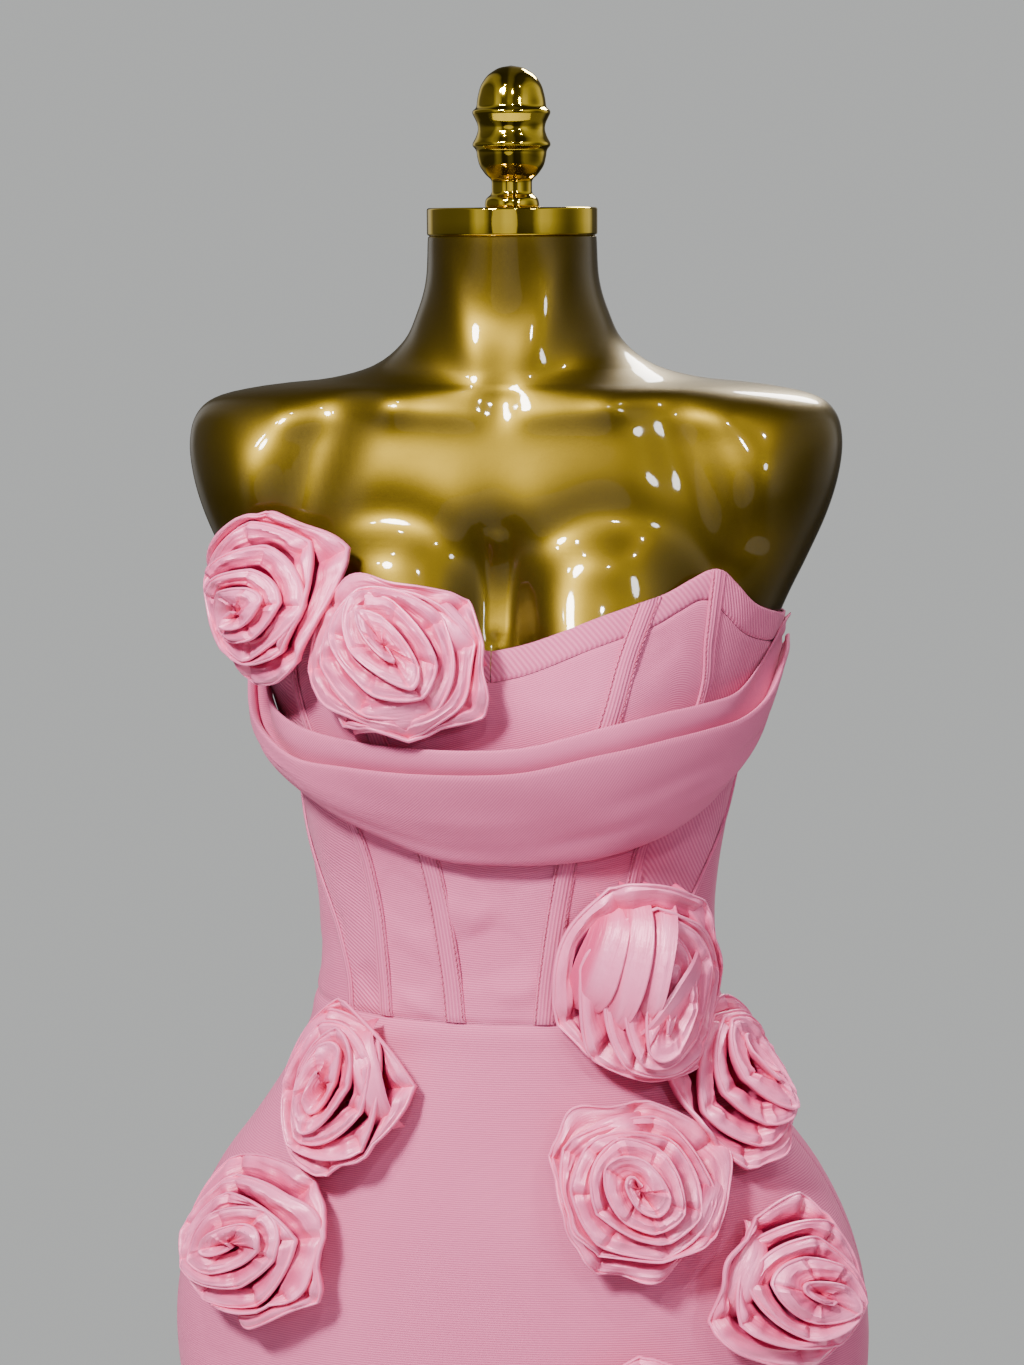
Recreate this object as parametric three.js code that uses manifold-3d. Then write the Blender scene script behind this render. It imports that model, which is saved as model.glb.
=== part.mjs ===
// A strapless bodycon dress: a boned knit bodice, a pleated cowl band, a ribbed knit skirt
// and wound satin roses, worn on a smooth limbless shop form with a neck cap, a turned finial,
// a pole and a round foot.
// Millimetres, +Z up, the front faces -Y, +X is to the right of someone looking at the front.
// The origin is the middle of the foot's underside.
import * as THREE from "three";
import Module from "manifold-3d";

// Driving sizes
const waistHeight = 1019;
const hemHeight = 630;
const formBottom = 600;
const neckTop = 1471.5;
const neckRadius = 49.5;
const seamGap = 0.3;
const knit = { clearance: 1.6, wall: 1.5 };
const knitFace = knit.clearance + knit.wall;
const bindingDepth = 17;
const zipGap = 6;
const skirtRows = 13;
const zipBottomRow = 7;
const zipBottom = hemHeight + ((waistHeight - seamGap / 2 - hemHeight) * zipBottomRow) / skirtRows;
const satinWall = 1.5;
const degree = Math.PI / 180;
const backAngle = 180;
const sideAngle = 90;

// The form's level sections: half width, depth in front of and behind the neck's axis,
// and how square each one is
const sections = [
  { z: 600, half: 180, front: 103, back: 112, square: 2.2 },
  { z: 640, half: 184, front: 105, back: 115, square: 2.2 },
  { z: 690, half: 193, front: 108, back: 122, square: 2.15 },
  { z: 740, half: 205, front: 111, back: 132, square: 2.15 },
  { z: 790, half: 211.5, front: 112, back: 139, square: 2.15 },
  { z: 830, half: 210, front: 111, back: 139, square: 2.15 },
  { z: 870, half: 200, front: 108, back: 134, square: 2.15 },
  { z: 905, half: 183, front: 104, back: 126, square: 2.15 },
  { z: 935, half: 161, front: 99, back: 116, square: 2.15 },
  { z: 965, half: 141, front: 94, back: 105, square: 2.15 },
  { z: 995, half: 125.5, front: 89, back: 94, square: 2.2 },
  { z: 1019, half: 119.5, front: 86, back: 87, square: 2.2 },
  { z: 1045, half: 117, front: 85, back: 83, square: 2.2 },
  { z: 1075, half: 117, front: 85, back: 82, square: 2.25 },
  { z: 1105, half: 120, front: 86, back: 84, square: 2.3 },
  { z: 1135, half: 125, front: 87, back: 88, square: 2.3 },
  { z: 1165, half: 131, front: 88, back: 92, square: 2.35 },
  { z: 1200, half: 141, front: 88, back: 96, square: 2.4 },
  { z: 1235, half: 152, front: 88, back: 99, square: 2.4 },
  { z: 1260, half: 162, front: 88, back: 101, square: 2.45 },
  { z: 1285, half: 174, front: 86, back: 102, square: 2.5 },
  { z: 1310, half: 185, front: 82, back: 101, square: 2.55 },
  { z: 1332, half: 191.5, front: 77, back: 98, square: 2.6 },
  { z: 1352, half: 193.5, front: 72, back: 94, square: 2.6 },
  { z: 1368, half: 189.5, front: 68, back: 88, square: 2.45 },
  { z: 1378, half: 177, front: 65, back: 83, square: 2.25 },
  { z: 1384, half: 149, front: 63, back: 78, square: 2.1 },
  { z: 1388, half: 112, front: 61, back: 73, square: 2.0 },
  { z: 1396, half: 83, front: 58, back: 67, square: 2.0 },
  { z: 1410, half: 65, front: 55, back: 61, square: 2.0 },
  { z: 1427, half: 56.5, front: 51, back: 54, square: 2.0 },
  { z: 1446, half: 51, front: 49.5, back: 50.5, square: 2.0 },
  { z: neckTop, half: neckRadius, front: neckRadius, back: neckRadius, square: 2.0 },
];
const sectionColumns = ["z", "half", "front", "back", "square"];

// The cups' fullness: one soft mound on each side, which the cowl spans from crown to crown
const cup = { side: 68, z: 1203, fullness: 40, width: 66, above: 66, below: 58 };

// The dress's top edge, by angle from the centre front
const neckline = [
  { angle: 0, z: 1240.5 }, { angle: 6, z: 1246 }, { angle: 16, z: 1258 }, { angle: 24, z: 1266 },
  { angle: 30, z: 1271.5 }, { angle: 35, z: 1279 }, { angle: 39, z: 1284 }, { angle: 43, z: 1283 },
  { angle: 49, z: 1275 }, { angle: 58, z: 1264 }, { angle: 68, z: 1258 }, { angle: 85, z: 1253 },
  { angle: 110, z: 1249 }, { angle: 145, z: 1246 }, { angle: 180, z: 1245 },
];

// The three pairs of bodice seams, each under a boning channel: the seam's angle at each height
const seams = {
  centre: [
    { z: 1019, angle: 10.6 }, { z: 1058, angle: 12.6 }, { z: 1094, angle: 14.4 }, { z: 1118, angle: 16 },
    { z: 1160, angle: 20 }, { z: 1205, angle: 23.8 }, { z: 1235, angle: 25.4 }, { z: 1275, angle: 27 },
  ],
  cupSide: [
    { z: 1019, angle: 32 }, { z: 1050, angle: 34 }, { z: 1084, angle: 35 }, { z: 1123, angle: 37.5 },
    { z: 1165, angle: 44 }, { z: 1213, angle: 49 }, { z: 1245, angle: 46 }, { z: 1285, angle: 41 },
  ],
  underarm: [
    { z: 1019, angle: 47 }, { z: 1043, angle: 50 }, { z: 1074, angle: 58 }, { z: 1100, angle: 68 },
    { z: 1125, angle: 80 }, { z: 1160, angle: 92 }, { z: 1205, angle: 97 }, { z: 1256, angle: 99 },
  ],
};
const channelWidths = { centre: 12.5, cupSide: 8.5, underarm: 5 };
const channelWall = 1.1;
const channelLift = 0.45;

// The cowl band from one side seam to the other: its bottom edge, the fold between its two pleats,
// its top edge, and how far its face stands off the bodice
const cowl = [
  { angle: -97, low: 1214, fold: 1236, top: 1248, stand: 10.6 },
  { angle: -84, low: 1191, fold: 1216, top: 1230, stand: 13 },
  { angle: -70, low: 1171, fold: 1197, top: 1211, stand: 17 },
  { angle: -48, low: 1154, fold: 1182, top: 1197, stand: 17 },
  { angle: -28, low: 1136, fold: 1181, top: 1193, stand: 14 },
  { angle: -12, low: 1122, fold: 1179.5, top: 1191, stand: 13 },
  { angle: 4, low: 1119.5, fold: 1181, top: 1192, stand: 13 },
  { angle: 20, low: 1122, fold: 1189, top: 1201, stand: 13 },
  { angle: 34, low: 1129, fold: 1194, top: 1207, stand: 14 },
  { angle: 46, low: 1138, fold: 1197, top: 1210, stand: 15 },
  { angle: 60, low: 1153, fold: 1201, top: 1214, stand: 15 },
  { angle: 73, low: 1177, fold: 1212, top: 1226, stand: 14 },
  { angle: 85, low: 1197, fold: 1230, top: 1244, stand: 11 },
  { angle: 97, low: 1216, fold: 1238, top: 1250, stand: 10.6 },
];
const cowlColumns = ["angle", "low", "fold", "top", "stand"];
const cowlWall = 1.2;
const cowlLeastStand = 10.6;
const cowlPinch = { from: 70, to: 97, share: 0.78 };
const edgeAbove = { low: "fold", fold: "top" };

// The cowl's cut across its pleats, from the sewn bottom edge round to the loose flap inside the top.
// from and share give the level between two of the cowl's edges, raise moves it by a fixed amount,
// out is the distance off the bodice at the least stand, and gain is how much of any further stand it takes
const cowlSection = [
  { from: "low", share: 0, raise: 9, out: 2.9, gain: 0 },
  { from: "low", share: 0, raise: 2.5, out: 3.7, gain: 0.12 },
  { from: "low", share: 0, raise: 0, out: 6.0, gain: 0.3 },
  { from: "low", share: 0.09, raise: 0, out: 8.7, gain: 0.55 },
  { from: "low", share: 0.34, raise: 0, out: 10.6, gain: 0.95 },
  { from: "low", share: 0.66, raise: 0, out: 11, gain: 1.05 },
  { from: "low", share: 1, raise: 0, out: 10.6, gain: 0.95 },
  { from: "low", share: 1, raise: -1.6, out: 8.7, gain: 0.86 },
  { from: "low", share: 1, raise: -8, out: 7.6, gain: 0.8 },
  { from: "low", share: 1, raise: -8.8, out: 6.5, gain: 0.74 },
  { from: "low", share: 1, raise: -6, out: 5.5, gain: 0.7 },
  { from: "fold", share: 0.45, raise: 0, out: 6.2, gain: 0.73 },
  { from: "fold", share: 1, raise: 0, out: 5.2, gain: 0.62 },
  { from: "fold", share: 1, raise: -2.4, out: 3.7, gain: 0.5 },
  { from: "fold", share: 1, raise: -10, out: 2.9, gain: 0.4 },
];

// The satin roses: where each is sewn on, its half width and half height, how far its middle stands up,
// its turns, the angle at which its strip ends, how far it is packed off the knit, and which way it winds
const roses = [
  {
    name: "rose_bust_outer", angle: -41, z: 1269, wide: 50, tall: 49,
    rise: 40, turns: 3.2, end: 60, lift: 2, wind: 1,
  },
  {
    name: "rose_bust_inner", angle: -15.5, z: 1234, wide: 52, tall: 46,
    rise: 40, turns: 3.1, end: 150, lift: 0.9, wind: -1,
  },
  {
    name: "rose_waist", angle: 37.5, z: 1049, wide: 50, tall: 58,
    rise: 42, turns: 3.3, end: 250, lift: 2.6, wind: 1,
  },
  {
    name: "rose_hip_side", angle: 61.5, z: 972, wide: 43, tall: 50,
    rise: 38, turns: 3, end: 20, lift: 1.5, wind: -1,
  },
  {
    name: "rose_hip_left", angle: -37.5, z: 974, wide: 45, tall: 51,
    rise: 40, turns: 3.2, end: 200, lift: 0.9, wind: 1,
  },
  {
    name: "rose_thigh_left", angle: -44.5, z: 881, wide: 55, tall: 49,
    rise: 42, turns: 3.3, end: 110, lift: 0.9, wind: -1,
  },
  {
    name: "rose_front_right", angle: 26.6, z: 923, wide: 53, tall: 51,
    rise: 42, turns: 3.4, end: 310, lift: 0.9, wind: 1,
  },
  {
    name: "rose_thigh_right", angle: 50.3, z: 864, wide: 52, tall: 49,
    rise: 41, turns: 3.1, end: 70, lift: 0.9, wind: -1,
  },
  {
    name: "rose_front_low", angle: 22.5, z: 782, wide: 50, tall: 50,
    rise: 40, turns: 3.2, end: 180, lift: 0.9, wind: 1,
  },
];
const rosePetals = { perTurn: 2.35, sway: 0.05, dip: 0.08, steps: 8 };

// The finial's turned outline above the cap, as radius and height
const finialOutline = [
  [15.5, 0], [16, 1.5], [15.5, 5], [12.5, 7.5], [11.8, 9], [11.8, 16], [15, 18.5], [19, 24], [20.3, 30],
  [20.6, 33], [22.8, 35.5], [22.8, 37], [20.6, 41], [19.4, 45], [20, 48.5], [22.8, 54], [22.8, 55.5],
  [20.4, 57.5], [19.8, 63], [18, 70], [14, 76], [7.5, 80.2],
];
const finialHeight = 81.5;
const cap = { radius: 50, thickness: 16, edge: 0.8 };
const foot = { radius: 165, rim: 8, edge: 2, dome: 26, bossRadius: 24 };
const pole = { radius: 16 };
const collar = { radius: 62, thickness: 11, edge: 2 };

const lerp = (a, b, share) => a + (b - a) * share;
const clamp = (value, low, high) => Math.min(Math.max(value, low), high);

// A smooth value from a table at a given row number, which may lie between rows
function tableAt(table, columns, row) {
  const last = table.length - 1;
  const at = clamp(row, 0, last);
  const first = Math.min(Math.floor(at), last - 1);
  const u = at - first;
  const found = {};
  for (const column of columns) {
    const p1 = table[first][column];
    const p2 = table[first + 1][column];
    const p0 = first > 0 ? table[first - 1][column] : 2 * p1 - p2;
    const p3 = first + 2 <= last ? table[first + 2][column] : 2 * p2 - p1;
    const m1 = (p2 - p0) / 2;
    const m2 = (p3 - p1) / 2;
    found[column] =
      (2 * u ** 3 - 3 * u ** 2 + 1) * p1 + (u ** 3 - 2 * u ** 2 + u) * m1 +
      (3 * u ** 2 - 2 * u ** 3) * p2 + (u ** 3 - u ** 2) * m2;
  }
  return found;
}

// The row number at which a rising column has a value
function rowWhere(table, column, value) {
  let low = 0;
  let high = table.length - 1;
  for (let step = 0; step < 32; step++) {
    const middle = (low + high) / 2;
    if (tableAt(table, [column], middle)[column] < value) low = middle;
    else high = middle;
  }
  return (low + high) / 2;
}

function lookUp(table, key, value, column) {
  return tableAt(table, [column], rowWhere(table, key, value))[column];
}

// The form's shallow valley between the cups, which the dress spans
const valley = { depth: 13, width: 20, z: 1240, tall: 62 };

// How far the cups stand out at a place across and up the front
function cupFullness(x, z, spanned) {
  const reach = z > cup.z ? cup.above : cup.below;
  const level = Math.exp(-(((z - cup.z) / reach) ** 2));
  const mound = (from) => Math.exp(-((from / cup.width) ** 2));
  const crown = mound(0) + mound(2 * cup.side);
  const across =
    spanned && Math.abs(x) < cup.side ? crown : mound(x - cup.side) + mound(x + cup.side);
  return cup.fullness * level * across;
}

// A point of the form at an angle from the centre front and a section row
function formPoint(angle, row, spanned = false) {
  const { z, half, front, back, square } = tableAt(sections, sectionColumns, row);
  const sine = Math.sin(angle * degree);
  const cosine = Math.cos(angle * degree);
  const acrossShare = Math.sign(sine) * Math.abs(sine) ** (2 / square);
  const depthShare = Math.abs(cosine) ** (2 / square);
  const x = half * acrossShare;
  if (cosine < 0) return new THREE.Vector3(x, back * depthShare, z);
  return new THREE.Vector3(x, -(front + cupFullness(x, z, spanned)) * depthShare, z);
}

// A point that lies a distance off the form, at an angle and a height
function offForm(angle, z, out, spanned = false) {
  const row = rowWhere(sections, "z", z);
  const here = formPoint(angle, row, spanned);
  const stepAngle = 0.4;
  const stepRow = 0.04;
  const across = formPoint(angle + stepAngle, row, spanned).sub(formPoint(angle - stepAngle, row, spanned));
  const along = formPoint(angle, row + stepRow, spanned).sub(formPoint(angle, row - stepRow, spanned));
  return here.addScaledVector(across.cross(along).normalize(), out);
}

const topEdge = (angle) => lookUp(neckline, "angle", Math.abs(angle), "z");
const seamAngle = (seam, z) => lookUp(seams[seam], "z", clamp(z, waistHeight, 1290), "angle");

// The angle that a length measured round the form covers, at an angle and a height
function angleOfLength(angle, z, length) {
  const row = rowWhere(sections, "z", z);
  return length / formPoint(angle + 0.5, row).distanceTo(formPoint(angle - 0.5, row));
}

// Triangles from points and faces, turned so that they face out
function solid(points, faces) {
  const geometry = new THREE.BufferGeometry();
  let volume = 0;
  const cross = new THREE.Vector3();
  for (const [a, b, c] of faces) volume += points[a].dot(cross.crossVectors(points[b], points[c]));
  const facing = volume < 0 ? faces.map(([a, b, c]) => [a, c, b]) : faces;
  geometry.setFromPoints(points);
  geometry.setIndex(facing.flat());
  return geometry.toNonIndexed();
}

// A wall over a grid: place(across, up, face) gives a point, with across and up from 0 to 1
// and face 0 inside or 1 outside
function gridWall(columns, rows, place) {
  const points = [];
  const faces = [];
  const index = (i, j, face) => (face * (rows + 1) + j) * (columns + 1) + i;
  for (const face of [0, 1]) {
    for (let j = 0; j <= rows; j++) {
      for (let i = 0; i <= columns; i++) points.push(place(i / columns, j / rows, face));
    }
  }
  const quad = (a, b, c, d) => faces.push([a, b, c], [a, c, d]);
  for (let j = 0; j < rows; j++) {
    for (let i = 0; i < columns; i++) {
      quad(index(i, j, 1), index(i + 1, j, 1), index(i + 1, j + 1, 1), index(i, j + 1, 1));
      quad(index(i, j, 0), index(i, j + 1, 0), index(i + 1, j + 1, 0), index(i + 1, j, 0));
    }
  }
  for (let i = 0; i < columns; i++) {
    quad(index(i, 0, 0), index(i + 1, 0, 0), index(i + 1, 0, 1), index(i, 0, 1));
    quad(index(i, rows, 1), index(i + 1, rows, 1), index(i + 1, rows, 0), index(i, rows, 0));
  }
  for (let j = 0; j < rows; j++) {
    quad(index(0, j, 1), index(0, j + 1, 1), index(0, j + 1, 0), index(0, j, 0));
    quad(index(columns, j, 0), index(columns, j + 1, 0), index(columns, j + 1, 1), index(columns, j, 1));
  }
  return solid(points, faces);
}

// A closed body through rings of the same number of points, with flat ends
function loftRings(rings) {
  const around = rings[0].length;
  const points = rings.flat();
  const faces = [];
  for (let j = 0; j + 1 < rings.length; j++) {
    for (let i = 0; i < around; i++) {
      const next = (i + 1) % around;
      const a = j * around + i;
      const b = j * around + next;
      faces.push([a, b, b + around], [a, b + around, a + around]);
    }
  }
  for (const [ring, turned] of [[0, true], [rings.length - 1, false]]) {
    const middle = new THREE.Vector3();
    rings[ring].forEach((point) => middle.addScaledVector(point, 1 / around));
    points.push(middle);
    for (let i = 0; i < around; i++) {
      const a = ring * around + i;
      const b = ring * around + ((i + 1) % around);
      faces.push(turned ? [b, a, points.length - 1] : [a, b, points.length - 1]);
    }
  }
  return solid(points, faces);
}

// Where a knit panel's grid lies: between two edges, each an angle at a height, and from a bottom height
// to a top height given by angle. A spread under 1 brings the rows closer together towards the top
function panelPlace({ left, right, bottom, top, spread }, across, up) {
  const rise = up ** spread;
  let z = lerp(bottom, 1240, rise);
  let angle = 0;
  for (let pass = 0; pass < 8; pass++) {
    angle = lerp(left(z), right(z), across);
    z = lerp(bottom, top(angle), rise);
  }
  return { angle, z };
}

function knitPanel(panel) {
  return gridWall(panel.columns, panel.rows, (across, up, face) => {
    const { angle, z } = panelPlace(panel, across, up);
    return offForm(angle, z, face ? knitFace : knit.clearance);
  });
}

// Panel edges, held back by half the gap at a seam
const besideSeam = (seam, side, toFront) => (z) => {
  const angle = seamAngle(seam, z);
  const lean = (seamAngle(seam, z + 4) - seamAngle(seam, z - 4)) / angleOfLength(angle, z, 8);
  const half = angleOfLength(angle, z, (seamGap / 2) * Math.hypot(1, lean));
  return side * (toFront ? angle - half : angle + half);
};
const besideSide = (side, toFront) => (z) =>
  side * (sideAngle + (toFront ? -1 : 1) * angleOfLength(sideAngle, z, seamGap / 2));
const besideZip = (side) => (z) => {
  const open = z > zipBottom - 1 ? zipGap : seamGap;
  return side * (backAngle - angleOfLength(backAngle - 1, z, open / 2));
};

// The bodice's panels on one side, from the centre front to the zip
const bodiceRows = 13;
const bodiceLimits = {
  rows: bodiceRows,
  bottom: waistHeight + seamGap / 2,
  top: (angle) => topEdge(angle) - bindingDepth - seamGap,
  spread: 0.82,
};
const bodiceFront = {
  ...bodiceLimits,
  columns: 10,
  left: besideSeam("centre", -1, true),
  right: besideSeam("centre", 1, true),
};
function bodicePart(side, columns, front, back) {
  return { ...bodiceLimits, columns, left: front(side), right: back(side) };
}
const behind = (seam) => (side) => besideSeam(seam, side, false);
const before = (seam) => (side) => besideSeam(seam, side, true);
const bodiceSide = (side) => ({
  cup: bodicePart(side, 5, behind("centre"), before("cupSide")),
  side: bodicePart(side, 7, behind("cupSide"), before("underarm")),
  back: bodicePart(side, 11, behind("underarm"), besideZip),
});

function bodicePanels() {
  const made = { bodice_front: knitPanel(bodiceFront) };
  for (const [side, word] of [[-1, "left"], [1, "right"]]) {
    for (const [part, panel] of Object.entries(bodiceSide(side))) {
      made["bodice_" + part + "_" + word] = knitPanel(panel);
    }
  }
  return made;
}

function skirtPanels() {
  const limits = { rows: skirtRows, bottom: hemHeight, top: () => waistHeight - seamGap / 2, spread: 1 };
  const front = { ...limits, columns: 16, left: besideSide(-1, true), right: besideSide(1, true) };
  const made = { skirt_front: knitPanel(front) };
  for (const [side, word] of [[-1, "left"], [1, "right"]]) {
    const back = { ...limits, columns: 9, left: besideSide(side, false), right: besideZip(side) };
    made["skirt_back_" + word] = knitPanel(back);
  }
  return made;
}

// The band that finishes the top edge, in two halves that meet at the centre front,
// with its points at the same angles as the panels' top points
function bindings() {
  const angles = [angleOfLength(0, 1235, seamGap / 2)];
  const half = bodiceFront.columns / 2;
  for (let i = 1; i <= half; i++) {
    angles.push(panelPlace(bodiceFront, 0.5 + i / bodiceFront.columns, 1).angle);
  }
  for (const panel of Object.values(bodiceSide(1))) {
    for (let i = 1; i <= panel.columns; i++) {
      angles.push(panelPlace(panel, i / panel.columns, 1).angle);
    }
  }
  const made = {};
  for (const [side, word] of [[-1, "left"], [1, "right"]]) {
    made["top_binding_" + word] = gridWall(angles.length - 1, 1, (across, up, face) => {
      const angle = angles[Math.round(across * (angles.length - 1))];
      const z = topEdge(angle) - bindingDepth * (1 - up);
      return offForm(side * angle, z, face ? knitFace : knit.clearance);
    });
  }
  return made;
}

// The strips that cover the seams and hold the bones, moved out from the panels' points
function boningChannels() {
  const made = {};
  for (const [seam, width] of Object.entries(channelWidths)) {
    const line = (z) => seamAngle(seam, z);
    const heights = [waistHeight + 1];
    for (let row = 1; row <= bodiceRows; row++) {
      heights.push(panelPlace({ ...bodiceLimits, left: line, right: line }, 0, row / bodiceRows).z);
    }
    heights.push(topEdge(line(heights[bodiceRows])) - 0.5);
    for (const [side, word] of [[-1, "left"], [1, "right"]]) {
      const columns = width > 10 ? 2 : 1;
      made["channel_" + seam + "_" + word] = gridWall(columns, heights.length - 1, (across, up, face) => {
        const row = Math.round(up * (heights.length - 1));
        const middle = line(heights[row]);
        const angle = middle + (across - 0.5) * angleOfLength(middle, heights[row], width);
        const z = row > bodiceRows ? topEdge(angle) - 0.5 : heights[row];
        return offForm(side * angle, z, knitFace + channelLift + (face ? channelWall : 0));
      });
    }
  }
  return made;
}

// A point of the cowl's middle line across its pleats, as level and distance off the bodice
function cowlLine(station, share) {
  const place = share * (cowlSection.length - 1);
  const { from, to } = cowlPinch;
  const towardsEnd = clamp((Math.abs(station.angle) - from) / (to - from), 0, 1);
  const pinch = lerp(1, cowlPinch.share, towardsEnd);
  const seat = cowlSection[0].out;
  const first = Math.min(Math.floor(place), cowlSection.length - 2);
  const at = (row) => {
    const part = cowlSection[clamp(row, 0, cowlSection.length - 1)];
    return [
      lerp(station[part.from], station[edgeAbove[part.from]], part.share) + part.raise,
      seat + (part.out - seat) * pinch + (station.stand - cowlLeastStand) * part.gain,
    ];
  };
  return at(first).map((value, i) => lerp(value, at(first + 1)[i], place - first));
}

function cowlBand() {
  const stations = 24;
  const parts = cowlSection.length - 1;
  return gridWall(stations, parts, (across, up, face) => {
    const angle = lerp(cowl[0].angle, cowl[cowl.length - 1].angle, across);
    const station = tableAt(cowl, cowlColumns, rowWhere(cowl, "angle", angle));
    const [level, out] = cowlLine(station, up);
    const before = cowlLine(station, Math.max(up - 0.5 / parts, 0));
    const after = cowlLine(station, Math.min(up + 0.5 / parts, 1));
    const run = Math.hypot(after[0] - before[0], after[1] - before[1]);
    const shift = (face - 0.5) * cowlWall;
    const z = level + (shift * (before[1] - after[1])) / run;
    const off = out + (shift * (after[0] - before[0])) / run;
    return offForm(angle, z, knitFace + off, true);
  });
}

// The dress's outer face below or above a point, measured along a direction
function faceAlong(point, direction) {
  let low = -30;
  let high = 30;
  for (let step = 0; step < 22; step++) {
    const middle = (low + high) / 2;
    const trial = point.clone().addScaledVector(direction, middle);
    if (insideDress(trial)) low = middle;
    else high = middle;
  }
  return (low + high) / 2;
}

function insideDress(point) {
  const { half, front, back, square } = tableAt(sections, sectionColumns, rowWhere(sections, "z", point.z));
  const depth = point.y < 0 ? front : back;
  const y = point.y < 0 ? Math.min(0, point.y + cupFullness(point.x, point.z, false)) : point.y;
  const across = Math.abs(point.x) / (half + knitFace);
  return across ** square + (Math.abs(y) / (depth + knitFace)) ** square < 1;
}

// A rose: one satin strip wound outwards, its lower edge gathered in and its rim opening into folded petals
function rose(spec) {
  const root = offForm(spec.angle, spec.z, knitFace);
  const out = offForm(spec.angle, spec.z, knitFace + 10).sub(root).normalize();
  const across = new THREE.Vector3(0, 0, 1).cross(out).normalize();
  const up = out.clone().cross(across);
  const columns = Math.round(spec.turns * rosePetals.steps);
  const strip = (share, height) => {
    const turn = spec.wind * (spec.end * degree - (1 - share) * spec.turns * 2 * Math.PI);
    const petal = Math.sin(turn * rosePetals.perTurn + spec.end);
    const fold = Math.sin(turn * rosePetals.perTurn * 0.5 + 2 * spec.end);
    const open = 1 + share * (rosePetals.sway * petal + 0.5 * rosePetals.sway * fold);
    const foot = lerp(0.08, 0.56, share);
    const rim = lerp(0.12, 1.03, Math.sin((share * Math.PI) / 2)) * open;
    const rimRise = spec.rise * (lerp(1, 0.4, share ** 1.6) + rosePetals.dip * share * fold);
    const belly = Math.sin(height * Math.PI) * 0.07 * share;
    const radius = lerp(foot, rim, height ** 1.3) + belly;
    return new THREE.Vector3(
      Math.cos(turn) * radius * spec.wide,
      Math.sin(turn) * radius * spec.tall,
      rimRise * Math.sin((height * Math.PI) / 2),
    );
  };
  return gridWall(columns, 3, (share, height, face) => {
    const here = strip(share, height);
    const step = 0.01;
    const along = strip(Math.min(share + step, 1), height).sub(strip(Math.max(share - step, 0), height));
    const rise = strip(share, Math.min(height + step, 1)).sub(strip(share, Math.max(height - step, 0)));
    here.addScaledVector(along.cross(rise).normalize(), (face - 0.5) * satinWall);
    const flat = root.clone().addScaledVector(across, here.x).addScaledVector(up, here.y);
    const knitBelow = faceAlong(flat, out);
    return flat.addScaledVector(out, knitBelow + spec.lift + Math.max(here.z, 0));
  });
}

// The form: one smooth closed body from its flat underside to the neck
function formTorso() {
  const across = (x) => Math.exp(-((x / valley.width) ** 2));
  const hollow = (x, z) => valley.depth * across(x) * Math.exp(-(((z - valley.z) / valley.tall) ** 2));
  const angles = [];
  for (let angle = -60; angle < 60; angle += 7.5) angles.push(angle);
  for (let angle = 60; angle < 300; angle += 12) angles.push(angle);
  const edge = 9;
  const cupRows = { first: rowWhere(sections, "z", 1105), last: rowWhere(sections, "z", 1285), step: 0.4 };
  const rings = [];
  const ring = (row, inset) => {
    const points = [];
    for (const angle of angles) {
      const point = formPoint(angle, row);
      const share = 1 - inset / Math.hypot(point.x, point.y);
      if (point.y < 0) point.y += hollow(point.x, point.z);
      points.push(new THREE.Vector3(point.x * share, point.y * share, point.z));
    }
    return points;
  };
  for (const part of [0, 0.3, 0.65]) {
    const turn = (part * Math.PI) / 2;
    const level = formBottom + edge * (1 - Math.cos(turn));
    const made = ring(rowWhere(sections, "z", level), edge * (1 - Math.sin(turn)));
    made.forEach((point) => (point.z = level));
    rings.push(made);
  }
  rings.push(ring(rowWhere(sections, "z", formBottom + edge), 0));
  for (let row = 1; row < cupRows.first; row++) rings.push(ring(row, 0));
  for (let row = cupRows.first; row < cupRows.last; row += cupRows.step) rings.push(ring(row, 0));
  for (let row = Math.round(cupRows.last); row < sections.length; row++) rings.push(ring(row, 0));
  return loftRings(rings);
}

function turned(outline, facets) {
  const points = outline.map(([radius, height]) => new THREE.Vector2(radius, height));
  return new THREE.LatheGeometry(points, facets);
}

function neckCap() {
  const { radius, thickness, edge } = cap;
  return turned(
    [
      [0, 0], [radius - edge, 0], [radius, edge],
      [radius, thickness - edge], [radius - edge, thickness], [0, thickness],
    ],
    40,
  );
}

const finial = () => turned([[0, 0], ...finialOutline, [0, finialHeight]], 18);

function standFoot() {
  const { radius, rim, edge, dome, bossRadius } = foot;
  return turned(
    [
      [0, 0], [radius - edge, 0], [radius, edge], [radius, rim - edge], [radius - edge, rim],
      [radius * 0.62, rim + 4], [bossRadius * 1.7, rim + 8], [bossRadius, rim + 13],
      [bossRadius, dome], [0, dome],
    ],
    36,
  );
}

function poleCollar() {
  const { radius, thickness, edge } = collar;
  return turned(
    [
      [0, 0], [radius * 0.45, 0], [radius * 0.55, edge],
      [radius, thickness - edge], [radius, thickness], [0, thickness],
    ],
    32,
  );
}

// The zip at the centre back: its closed teeth, its slider with a small arch,
// and the pull tab that hangs from the arch and turns about its own top bar
const zip = {
  teethWidth: 5.2, sliderBelowTop: 9, sliderWidth: 7.5, sliderLength: 11, sliderWall: 2.4,
};
const arch = { width: 2, reach: 3.6, wall: 1.2, inside: 2.4 };
const pull = { width: 6.4, length: 21, wall: 1.2, bar: 0.6, window: 2.7, windowEnd: 5.4 };

function zipTeeth() {
  return gridWall(2, 14, (across, up, face) => {
    const z = lerp(zipBottom + 0.5, topEdge(backAngle) - 1, up);
    const angle = backAngle - angleOfLength(backAngle - 1, z, (across * 2 - 1) * (zip.teethWidth / 2));
    return offForm(angle, z, face ? knitFace : knit.clearance);
  });
}

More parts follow.
